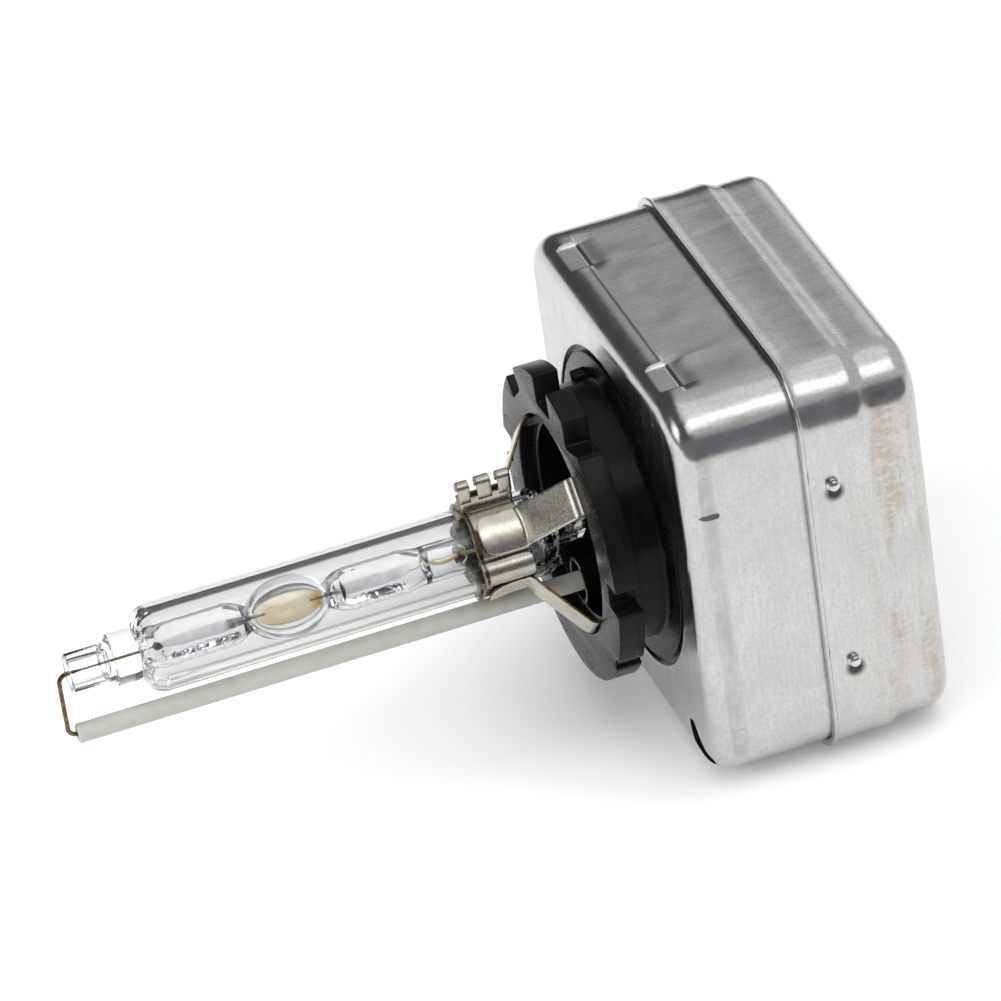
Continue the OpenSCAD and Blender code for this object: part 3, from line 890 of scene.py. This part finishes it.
def ring_outline():
    """Outline of the base ring: lugs with keyways between them."""
    keyways = [(92.3, 3.7, 12.7), (132.5, 3.4, 13.4), (177.0, 2.9, 13.6), (-1.2, 2.7, 13.3),
               (-34.5, 1.4, 15.2)]
    corners = []
    for angle, width, floor in keyways:
        half = width / 2
        rim = math.sqrt(ring_r ** 2 - half ** 2)
        a = math.radians(angle)
        for r, side in ((rim, -half), (floor, -half), (floor, half), (rim, half)):
            at = (r * math.cos(a) - side * math.sin(a), r * math.sin(a) + side * math.cos(a))
            corners.append((math.degrees(math.atan2(side, r)) + angle, at, r == floor))
    step = [(9.4, 12.7), (9.4, 13.0), (6.9, 12.2), (5.5, 12.0), (5.5, 14.8)]
    groups = [corners[i:i + 4] for i in range(0, len(corners), 4)]
    groups.append([(math.degrees(math.atan2(z, x)), (x, z), i in (1, 2, 3))
                   for i, (x, z) in enumerate(step)])
    groups.sort(key=lambda g: g[0][0])
    outline, radii = [], []
    for i, group in enumerate(groups):
        for _, point, inner in group:
            outline.append(point)
            radii.append(0.28 if inner else 0.2)
        start = group[-1][0]
        end = groups[(i + 1) % len(groups)][0][0]
        if end <= start:
            end += 360
        count = max(int((end - start) / 3), 1)
        rim = arc_points(0, 0, ring_r, start, end, count)[1:-1]
        outline += rim
        radii += [0] * len(rim)
    return rounded(outline, radii, 3)


def build_base_ring():
    """The keyed ring, with eight shallow round ejector marks in its face."""
    bore = [polar(bore_r, math.tau * k / 120) for k in range(120)]
    ring = plate("moulded_base_ring", [ring_outline(), bore], 0, ring_t, 0.12, ring_plastic)
    groove = [(0.90, -0.5), (0.98, -0.5), (0.98, 0.07), (0.90, 0.07)]
    combine(ring, [lathe("mark", groove, None, 32, *polar(14.2, math.radians(angle)))
                   for angle in (15, 75, 105, 165, 195, 255, 285, 345)])
    return declare(ring, "base_plastic", "base_ring")


def build_housing():
    """Neck, disc and cup of the igniter housing, and its box inside the metal case."""
    seat_r, disc_out = bore_r - 0.02, disc_r - 0.4
    turned = [(0, well_floor), (well_r, well_floor), (well_r, spigot_front),
              (seat_r, spigot_front), (seat_r, ring_t), (neck_r, ring_t), (neck_r, case_front),
              (disc_out, case_front), (disc_out, case_front + 1.2), (0, case_front + 2.4)]
    radii = [0, 0.4, 0.25, 0.12, 0, 0.15, 0.5, 0.14, 0.1, 0]
    housing = lathe("moulded_housing", rounded(turned, radii, 4, False), housing_plastic, 160)
    box_half = case_half - 0.7
    box_in = box_half - 1.2
    walls = [(17.6, 0.55), (17.8, 0.5), (box_half - 2, 0.5), (box_half - 0.6, 0.9),
             (box_half, 1.6), (box_half, housing_high.y - case_front),
             (box_in, housing_high.y - case_front), (box_in, 2.5)]
    box = loft("box", [case_ring(half, case_front + y, 1, COLUMNS[::3]) for half, y in walls],
               None)
    cup = [lathe("boss", [(2.0, 1.0), (2.4, 1.0), (2.4, 8.2), (2.0, 8.2)], None, 48, 0, return_z),
           lathe("post", rounded([(1.25, 4.6), (3.0, 4.6), (3.0, 8.2), (1.25, 8.2)], 0.15, 3),
                 None, 64)]
    pip_end = case_front + 0.3
    pip = lathe("pip", rounded([(0, 4.9), (0.85, 4.9), (0.95, pip_end), (0, pip_end)],
                               [0, 0.15, 0, 0], 3, False), None, 40, -6.5, 11.3)
    combine(housing, [box, pip], "UNION")
    combine(housing, cup, "UNION")
    slots = []
    for angle in strap_angles.values():
        cutter = box_piece((foot_r - clamp_t - 0.02, -1, -strap_w / 2 - 0.1),
                           (foot_r + 0.12, 5.6, strap_w / 2 + 0.1))
        cutter.data.transform(Matrix.Rotation(-math.radians(angle), 4, "Y"))
        slots.append(cutter)
    slots.append(box_piece((socket_low.x - 1, socket_low.y, socket_low.z),
                           (-box_in + 0.5, socket_high.y, socket_high.z)))
    combine(housing, slots)
    return declare(housing, "base_plastic", "igniter_housing")


# ---- clamp -----------------------------------------------------------------------------


def densify(line, spacing):
    """The same line with points no further apart than about spacing."""
    out = [Vector(line[0])]
    for a, b in zip(line, line[1:]):
        a, b = Vector(a), Vector(b)
        count = max(int((b - a).length / spacing), 1)
        out += [a.lerp(b, (k + 1) / count) for k in range(count)]
    return out


def build_strap(name, angle):
    """A flat strap: its round end lies on the band, then it slopes out to its foot."""
    end_r = 1.5
    route = rounded([(band_r, band_low.y + 0.75), (band_r, -4.5), (foot_r - clamp_t, -0.35),
                     (foot_r - clamp_t, 5.4)], 0.9, 8, False)
    line = densify(route, 0.28)
    length = 0.0
    rows = []
    across = 14
    for i, point in enumerate(line):
        if i:
            length += (point - line[i - 1]).length
        near = min(length, end_r)
        narrow = end_r - math.sqrt(max(end_r ** 2 - (end_r - near) ** 2, 0))
        half = strap_w / 2 - narrow * 0.8
        flat = smooth(point.y, -5.1, -3.9)
        lift = 0.16 * (1 - smooth(length, 0.6, 2.6))
        row = []
        for k in range(across + 1):
            w = half * (2 * k / across - 1)
            curve = (1 - flat) / band_r
            if curve > 1e-4:
                offset, drop = math.sin(w * curve) / curve, (1 - math.cos(w * curve)) / curve
            else:
                offset, drop = w, 0.0
            row.append((point.x - drop + lift, point.y, offset))
        rows.append(row)
    points = [p for row in rows for p in row]
    strap = make_piece("formed_" + name, points, ring_faces(len(rows), across + 1, False), nickel)
    outward = strap.data.polygons[len(strap.data.polygons) // 2].normal.x > 0
    cut_sheet(strap, 1 if outward else -1, 0.045)
    strap.data.transform(Matrix.Rotation(-math.radians(angle), 4, "Y"))
    return declare(strap, "nickel_steel", name)


def band_section():
    """The band's middle line in X and Z, from the near flange round below to the far one."""
    seam = 0.28
    roll = 1.4
    r = sleeve_r + 0.01
    rise = math.degrees(math.asin(roll / (r + 0.45)))
    line = [(seam, flange_top), (seam, r + 0.1)]
    line += arc_points(0, 0, r, 84, rise + 3, 22)
    line += arc_points(r - 0.05, 0, roll - clamp_t, 100, -100, 16)
    line += arc_points(0, 0, r, -rise - 3, -180 + rise + 3, 40)
    line += arc_points(-r + 0.05, 0, roll - clamp_t, 280, 80, 16)
    line += arc_points(0, 0, r, 180 - rise - 3, 96, 22)
    line += [(-seam, r + 0.1), (-seam, flange_top)]
    return line


def sheet_strip(name, line, y0, y1, rows, shape=None):
    """A bent sheet that follows a line in X and Z and runs from y0 to y1."""
    points = []
    for i in range(rows + 1):
        y = y0 + (y1 - y0) * i / rows
        for x, z in line:
            px, pz = shape(x, y, z) if shape else (x, z)
            points.append((px, y, pz))
    strip = make_piece(name, points, ring_faces(rows + 1, len(line), False), shaded_band_nickel)
    return cut_sheet(strip, 1, 0.05, True)


def build_band():
    """The clamp band with its flared front edge and the three teeth of its flange."""

    def flared(x, y, z):
        """The front edge of the band turns outwards a little."""
        lift = 0.28 * (1 - smooth(y, band_low.y, band_low.y + 0.55))
        out = Vector((x, z)).normalized() * (lift if z < flange_top - 0.3 else 0.0)
        return x + out.x, z + out.y

    band = sheet_strip("formed_clamp_band", band_section(), band_low.y, band_high.y, 20,
                       flared)
    middle = (band_low.y + band_high.y) / 2
    pitch, curl, root, lean = 2.05, 0.34, 0.31, 0.36
    teeth = []
    for i, (rise, half) in enumerate(((1.05, 0.60), (1.15, 0.72), (1.1, 0.66))):
        y = middle + (i - 1) * pitch
        crown = flange_top + rise
        route = [(root, flange_top - 0.5), (root, flange_top), (lean, crown)]
        route += arc_points(lean - curl, crown, curl, 0, 205, 10)[1:]
        route += [(lean - 2 * curl + 0.02, crown - 0.55)]
        teeth.append(sheet_strip("tooth", route, y - half, y + half, 4))
    join(band, teeth)
    return declare(band, "nickel_steel", "clamp_band")


def build_anchor_ring():
    """The metal ring in the base."""
    low, high = node_box("anchor_ring")
    inner = high.x - 0.5
    profile = rounded([(inner, low.y), (high.x, low.y), (high.x, high.y), (inner, high.y)],
                      0.08, 3)
    ring = lathe("turned_anchor_ring", profile, nickel, 120)
    return declare(ring, "nickel_steel", "anchor_ring")


# ---- burner ----------------------------------------------------------------------------

pinch_tilt = math.radians(35)   # the pinched seals' broad faces look this far above +X


def build_outer_bulb():
    """A clear quartz sleeve that is melted down on to the burner at both ends."""
    wall = 1.0
    inner_r = sleeve_r - wall
    front = sleeve_front
    neck = 1.95
    outer = [(neck, front)] + arc_points(sleeve_r - 2.1, front + 2.1, 2.1, -90, 0, 14)
    outer += [(sleeve_r, y) for y in range(-40, -3, 2)]
    outer += arc_points(sleeve_r - 1.6, -2.9, 1.6, 0, 60, 8) + [(neck, -0.8)]
    inner = [(neck, -1.8)] + arc_points(inner_r - 0.8, -3.2, 0.8, 60, 0, 6)
    inner += [(inner_r, y) for y in range(-6, -41, -3)]
    inner += arc_points(inner_r - 1.3, front + 2.2, 1.3, 0, -90, 12)
    inner += [(2.05, front + 0.9), (neck, front + 0.85)]

    def melted(radius, y, angle):
        near = 1 - smooth(y, front + 0.6, front + 3.2)
        tail = smooth(y, -4.2, -1.5)
        where = Vector((math.cos(angle) * 1.5, math.sin(angle) * 1.5, y * 0.6))
        inside = radius < inner_r + 0.01 and y > front + 0.5
        fine = noise.noise(where * (4.2 if inside else 1.8)) * (0.22 if inside else 0.09) * near
        ripple = fine + noise.noise(where * 2.6) * 0.22 * tail
        out = radius + ripple if radius > neck + 0.1 else radius
        return min(out, sleeve_r), y + ripple * 0.7

    bulb = lathe("blown_outer_bulb", outer + inner, sleeve_glass, 144, wobble=melted, sharp=60)
    bulb.visible_shadow = False
    return declare(bulb, "quartz_sleeve", "outer_bulb")


def pinch_amount(y):
    """1 where the tube is pinched flat on its foils, 0 where it is still round."""
    front = smooth(y, -42.8, -39.8) * (1 - smooth(y, -34.4, -32.5))
    rear = smooth(y, -23.7, -21.8) * (1 - smooth(y, -16.6, -14.2))
    return front + rear


def on_blade(u, v, tilt=pinch_tilt):
    """X and Z of a place u along the pinched seal's blade and v off its broad face."""
    return v * math.cos(tilt) - u * math.sin(tilt), u * math.cos(tilt) + v * math.sin(tilt)


def seal_point(radius, y, angle):
    """A point of the burner's skin: round, or pinched to a blade with thick rims."""
    where = Vector((math.cos(angle), math.sin(angle), y * 0.8))
    wave = noise.noise(where * 1.6)
    round_u, round_v = radius * math.cos(angle), radius * math.sin(angle)
    across = math.cos(angle)
    rim = smooth(-across, 0.55, 0.80) + 0.5 * smooth(across, 0.75, 0.95)
    thick = 0.95 + 0.42 * rim + 0.10 * wave
    flat_v = math.copysign(abs(math.sin(angle)) ** 0.55, math.sin(angle)) * thick
    edge = 2.12 + 0.09 * noise.noise(Vector((math.copysign(3.0, across), 0.0, y * 1.3)))
    amount = pinch_amount(y)
    u = round_u + (across * edge - round_u) * amount
    v = round_v + (flat_v - round_v) * amount
    return on_blade(u, v)


def rim_pocket(y0, y1, size0, size1):
    """A thin gas pocket along the lower rim of a pinched seal, which shines like silver."""
    rings = []
    count, sides = 44, 14
    for i in range(count + 1):
        y = y0 + (y1 - y0) * i / count
        ends = math.sqrt(max(1 - abs(2 * i / count - 1) ** 5, 0.0)) + 0.04
        swell = size0 + (size1 - size0) * i / count + 0.6 * noise.noise(Vector((4.0, 1.0, y * 1.9)))
        shift = 0.10 * noise.noise(Vector((9.0, 2.0, y * 1.2)))
        ring = []
        for k in range(sides):
            a = math.tau * k / sides
            u = -1.42 + shift + 0.50 * ends * min(swell, 1.15) * math.cos(a)
            x, z = on_blade(u, 0.55 * ends * swell * math.sin(a))
            ring.append((x, y, z))
        rings.append(ring)
    return loft("rim_pocket", rings, None)


def build_arc_tube():
    """The burner: a hollow chamber between two pinched seals, open tubes at both ends."""
    chamber_r, chamber_half = 3.05, 4.3
    cavity_r, cavity_half = 1.6, 3.2
    collar_r = 2.58
    tail_bore = 1.25

    def half_ellipse(rr, ry, reach, steps):
        return [(rr * x, arc_y + ry * y) for x, y in arc_points(0, 0, 1, -reach, reach, steps)]

    tip = stub_front - 0.35
    skin = [(1.12, -46.4), (1.1, tip + 0.06), (1.2, tip), (1.72, tip),
            (1.87, tip + 0.06), (1.93, tip + 0.2), (1.93, -46.5), (2.0, -46.15),
            (2.35, -45.95)] + arc_points(collar_r - 0.16, -45.72, 0.16, -70, 0, 4)
    skin += [(collar_r - 0.03, -44.9), (collar_r, -44.2), (collar_r - 0.02, -43.75),
             (2.45, sleeve_front - 0.06), (1.93, sleeve_front - 0.02), (1.93, sleeve_front + 0.1)]
    skin += [(1.92, y / 4) for y in range(-172, -166)]
    skin += [(1.86, y / 4) for y in range(-166, -132)]
    skin += [(1.75, -32.9)]
    skin += half_ellipse(chamber_r, chamber_half, 66, 34)
    skin += [(1.75, -23.4)]
    skin += [(1.86, y / 4) for y in range(-92, -58)]
    skin += [(1.88, y / 2) for y in range(-29, -18)]
    skin += [(1.88, y) for y in (-8, -6, -4, -2, 0, 1.6)] + [(1.75, 1.95), (1.35, 1.95)]
    skin += [(tail_bore, y) for y in (1.6, 0, -3, -6, -9, -12, -13.6)]
    skin += [(0.9, -14.2), (0.45, -14.5), (0, -14.6)]
    front_bore = [(0.5, -45.95), (0.95, -46.1)]
    rings = []
    steps = 96
    for radius, y in front_bore + skin[:-1]:
        ring = []
        for k in range(steps):
            angle = math.tau * k / steps
            if pinch_amount(y) > 0 and radius > tail_bore:
                px, pz = seal_point(radius, y, angle)
            else:
                ripple = 0.05 * noise.noise(Vector((math.cos(angle) * 2, math.sin(angle) * 2, y)))
                r = radius + (ripple if y > -14 else 0)
                px, pz = polar(r, angle + pinch_tilt + math.pi / 2)
            ring.append((px, y, pz))
        rings.append(ring)
    tube = loft("blown_arc_tube", rings, tube_glass, sharp=50)
    cavity = lathe("cavity", [(0, arc_y - cavity_half),
                              *half_ellipse(cavity_r, cavity_half, 84, 30),
                              (0, arc_y + cavity_half)], None, 64)
    combine(tube, [cavity], sharp=50)
    skin_count = len(tube.data.polygons)
    join(tube, [rim_pocket(-40.9, -33.2, 0.7, 1.25), rim_pocket(-22.7, -16.2, 1.25, 0.95)])
    for finish in (salted_glass, rim_glass, rim_silver):
        tube.data.materials.append(finish)
    for face in tube.data.polygons:
        c = face.center / MM
        u = c.z * math.cos(pinch_tilt) - c.x * math.sin(pinch_tilt)
        inside = math.hypot(c.x, c.z) < cavity_r + 0.05 and abs(c.y - arc_y) < cavity_half + 0.05
        ragged = 0.22 * noise.noise(Vector((0, 0, c.y * 2.2)))
        low_rim = pinch_amount(c.y) > 0.9 and u < -1.6 + ragged
        pocket = face.index >= skin_count
        face.material_index = 3 if pocket else 1 if inside else 2 if low_rim else 0
    tube.visible_shadow = False
    return declare(tube, "quartz_tube", "arc_tube")


def swept(name, points, radius, material, sides=16):
    """A round wire along points; radius may be a function of the place from 0 to 1."""
    points = [Vector(p) for p in points]
    count = len(points)
    reference = Vector((1, 0, 0))
    rings = []
    for i, point in enumerate(points):
        ahead = (points[min(i + 1, count - 1)] - points[max(i - 1, 0)]).normalized()
        side = ahead.cross(reference).normalized()
        reference = side.cross(ahead).normalized()
        r = radius(i / (count - 1)) if callable(radius) else radius
        rings.append([point + (reference * math.cos(a) + side * math.sin(a)) * r
                      for a in (math.tau * k / sides for k in range(sides))])
    return loft(name, rings, material)


def taper(index):
    """The return wire is flattened at its weld, thin inside the stub and full outside it."""
    return 1.9 if index < 1.5 else 0.4 if index < 3.5 else 0.97


def build_wires():
    """The return wire, the supply lead and the glass bead on the lead."""
    r = wire_high.x
    low, front, bend = return_z, wire_low.y + r, 0.9
    line = [(y, 0) for y in (-40.4, -41.3, -41.5, stub_front + 1.2, stub_front - 0.1)]
    line += arc_points(front + bend, -bend, bend, 90, 180, 8)
    line += [(front, low + bend + 1.6), (front + 0.03, low + bend + 0.6)]
    line += arc_points(front + bend, low + bend, bend, 180, 270, 8)
    line += [(-28, low), (wire_high.y, low)]
    route = [(0, y, z) for y, z in line]
    wire = swept("bent_return_wire", route, lambda s: r * taper(s * (len(route) - 1)), wire_metal)
    declare(wire, "lead_wire", "return_wire")
    low_lead, high_lead = node_box("supply_lead")
    stations = [low_lead.y + (high_lead.y - low_lead.y) * k / 60 for k in range(61)]
    kink = [(0.12 * math.sin(y * 1.9) * (1 - smooth(y, -12, -9)), y,
             0.1 * math.cos(y * 1.3) * (1 - smooth(y, -12, -9)) * smooth(y, -16, -15))
            for y in stations]
    widths = {i: 0.11 if y < -13.4 else 0.3 if y < -9.9 else r for i, y in enumerate(stations)}
    lead = swept("drawn_supply_lead", kink, lambda s: widths[round(s * 60)], gilt_wire)
    declare(lead, "lead_wire", "supply_lead")
    section = [(0.34, -10.2), (0.9, -10.95), (1.12, -10.9), (0.95, -10.3), (0.34, -9.7)]
    bead = lathe("lead_bead", rounded(section, 0.1, 3), bead_glass, 48)
    declare(bead, "quartz_tube")


def build_ceramic():
    """The insulating tube over the return wire."""
    bore, front, rear = 0.43, ceramic_low.y, ceramic_high.y
    section = [(bore, front), (ceramic_r, front), (ceramic_r, rear), (bore, rear)]
    profile = rounded(section, [0.1, 0.28, 0.05, 0.05], 5)
    tube = lathe("fired_ceramic_tube", profile, ceramic, 64, 0, return_z)
    return declare(tube, "ceramic", "ceramic_tube")


def build_electrodes():
    """Two rods with a coil round their outer ends."""
    for name, pitch, wide in (("electrode_front", 0.2, 0.48), ("electrode_rear", -0.16, 0.32)):
        low, high = node_box(name)
        r, turns, steps, wire_r = high.x, 9, 12, 0.075
        profile = [(0, low.y)] + arc_points(0, low.y + r, r, -80, 0, 5)
        profile += arc_points(0, high.y - r, r, 0, 80, 5) + [(0, high.y)]
        rod = lathe("ground_" + name, profile, tungsten, 32)
        start = (low.y if pitch > 0 else high.y) - 3.5 * pitch
        spots = [polar(wide, math.tau * k / steps) for k in range(turns * steps + 1)]
        coil = [(x, start + pitch * k / steps, z) for k, (x, z) in enumerate(spots)]
        join(rod, [swept("coil", coil, wire_r, None, 6)])
        declare(rod, "tungsten", name)


def build_foils():
    """Two thin foils with ripples, narrower at their ends."""
    rows, across, half_w = 28, 8, 0.62
    for name in ("foil_front", "foil_rear"):
        low, high = node_box(name)
        middle, half_len = (low.y + high.y) / 2, (high.y - low.y) / 2
        points = []
        for i in range(rows + 1):
            s = 2 * i / rows - 1
            width = max(half_w * (1 - abs(s) ** 9), 0.12)
            for k in range(across + 1):
                w = 2 * k / across - 1
                wave = 0.03 * math.sin(s * 21) * (1 - w * w)
                x, z = on_blade(w * width, wave, pinch_tilt + math.radians(8))
                points.append((x, middle + s * half_len, z))
        faces = ring_faces(rows + 1, across + 1, False)
        foil = make_piece("rolled_" + name, points, faces, foil_metal)
        thicken(foil, 0.03, 0)
        declare(apply_modifiers(foil), "foil", name)


# ---- connector and the pieces inside ---------------------------------------------------


def restyle():
    """Gives the CAD pieces that stay their finishes."""
    inside = {
        "transformer_core": ("ferrite", (0.035, 0.035, 0.038), (0.06, 0.06, 0.065),
                             (0.5, 0.7), 0, 2, 0.02),
        "transformer_bobbin": ("bobbin_plastic", (0.20, 0.10, 0.04), (0.28, 0.15, 0.06),
                               (0.35, 0.5)),
        "secondary_winding": ("copper_wire", (0.45, 0.17, 0.06), (0.62, 0.26, 0.10),
                              (0.2, 0.4), 1, 2, 0.05),
        "primary_winding": ("primary_copper", (0.40, 0.14, 0.05), (0.58, 0.22, 0.08),
                            (0.2, 0.4), 1, 2, 0.05),
        "capacitor": ("capacitor_case", (0.03, 0.10, 0.32), (0.05, 0.15, 0.42), (0.3, 0.45)),
        "spark_gap": ("spark_gap_ceramic", (0.62, 0.60, 0.56), (0.74, 0.72, 0.68)),
        "bleed_resistor": ("resistor_body", (0.42, 0.33, 0.20), (0.55, 0.44, 0.28), (0.35, 0.5)),
        "circuit_board": ("board", (0.015, 0.10, 0.035), (0.03, 0.16, 0.06), (0.3, 0.45)),
        "sealing_resin": ("resin", (0.02, 0.02, 0.022), (0.045, 0.045, 0.05),
                          (0.25, 0.4), 0, 1, 0.05),
    }
    finishes = {node: plain(*look) for node, look in inside.items()}
    finishes["connector_socket"] = black_plastic("socket_plastic", 0.013, 0.4)
    for node in ("connector_pins", "high_voltage_contact", "return_contact"):
        finishes[node] = brass
    for node, material in finishes.items():
        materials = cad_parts[node].data.materials
        materials.clear()
        materials.append(material)


build_front_shell()
build_rear_cover()
build_rivets()
build_base_ring()
build_housing()
build_band()
for strap_name, strap_angle in strap_angles.items():
    build_strap(strap_name, strap_angle)
build_anchor_ring()
build_outer_bulb()
build_arc_tube()
build_wires()
build_ceramic()
build_electrodes()
build_foils()
restyle()


# ---- floor, light and camera -----------------------------------------------------------


floor_z = cad_box[0].z / MM


def matt_paint(name, scale, low, high, gloss, **values):
    """A dull coat for what isn't part of the object."""
    m = Nodes(name)
    m.set(Base_Color=m.drift(m.noise(scale, 2, 0.5), low, high), Roughness=0.9,
          Specular_IOR_Level=gloss, **values)
    return m.material


def build_floor():
    """A pale floor with a faint glow, which keeps the contact shadow light."""
    half = 3000.0
    corners = [(x, y, floor_z) for x, y in ((-half, -half), (half, -half), (half, half),
                                            (-half, half))]
    paint = matt_paint("floor_paint", 0.002, 0.90, 0.92, 0.1, Emission_Color=(1, 1, 1),
                       Emission_Strength=0.08)
    make_piece("floor", corners, [(0, 1, 2, 3)], paint)


def area_light(name, direction, distance, size, power, size_y=None):
    """A soft box that faces the object from a direction."""
    light = bpy.data.lights.new(name, "AREA")
    light.shape = "RECTANGLE"
    light.size = size * MM
    light.size_y = (size_y or size) * MM
    light.energy = power
    holder = put_in_scene(name, light)
    holder.location = Vector(direction).normalized() * distance * MM
    holder.rotation_mode = "QUATERNION"
    holder.rotation_quaternion = (-holder.location).to_track_quat("-Z", "Y")
    return holder


def flag(name, low, high, colour, mirrored=True):
    """A dark card beside the set that only reflections and clear glass show."""
    card = box_piece(low, high, name)
    lighter = tuple(c * 1.25 for c in colour)
    card.data.materials.append(matt_paint(name + "_card", 0.02, colour, lighter, 0.0))
    card.visible_camera = card.visible_diffuse = card.visible_shadow = False
    card.visible_glossy = mirrored


def build_lights():
    """Soft boxes, washes that reflections don't show, and dark cards."""
    area_light("key", (0.50, 0.16, 0.85), 900, 900, 1.2, size_y=330)
    area_light("key_halo", (0.05, 0.10, 1), 950, 900, 0.9)
    area_light("front_fill", (0.1, -1.0, 0.45), 1100, 500, 1.5)
    for name, direction, size, power in (("top_wash", (0.1, -0.1, 1), 1400, 8.2),
                                         ("front_wash", (0.2, -1, 0.4), 900, 6.0),
                                         ("near_wash", (1, -0.4, 0.4), 900, 4.0)):
        area_light(name, direction, 1200, size, power).visible_glossy = False
    strip = area_light("rear_strip", (-0.80, 0.49, 0.335), 900, 260, 0.16, size_y=500)
    strip.visible_transmission = strip.visible_diffuse = False
    flag("side_flag", (150, -220, floor_z + 0.5), (152, 320, floor_z + 118), (0.22, 0.235, 0.255))
    flag("low_flag", (-80, -120, -4), (-78, 40, 30), (0.05, 0.058, 0.07), False)


def build_studio():
    """A room that is bright above and behind, and dark in front and below."""
    world = bpy.data.worlds.new("studio")
    world.use_nodes = True
    room = Tree(world.node_tree)
    place = room.node("ShaderNodeTexCoord", {}).outputs["Generated"]
    slope = room.math("ADD", room.part(place, "Z"), room.part(place, "Y"))
    greys = ((0.0, 0.07), (0.75, 0.10), (0.83, 0.54), (0.9, 0.64), (1.0, 0.7))
    sky = room.stops(room.map_range(slope, -1.2, 1.2),
                     *((at, (grey, grey * 1.01, grey * 1.03)) for at, grey in greys))
    room.feed(world.node_tree.nodes["Background"].inputs["Color"], sky)
    bpy.context.scene.world = world


def build_camera():
    """A long lens from the near side, in front of the object and above it."""
    data = bpy.data.cameras.new("camera")
    data.sensor_width = 36
    data.lens = 287.71
    data.clip_start, data.clip_end = 0.05, 20
    camera = put_in_scene("camera", data)
    place, target = Vector((620.53, -171.77, 424.81)), Vector((-1.22, -5.24, 3.8))
    roll = Matrix.Rotation(math.radians(-8.5), 4, "Z")
    aim = (target - place).to_track_quat("-Z", "Y").to_matrix().to_4x4()
    camera.matrix_world = Matrix.Translation(place * MM) @ aim @ roll
    bpy.context.scene.camera = camera


build_floor()
build_lights()
build_studio()
build_camera()
view = bpy.context.scene.view_settings
view.view_transform, view.look = "Standard", "None"
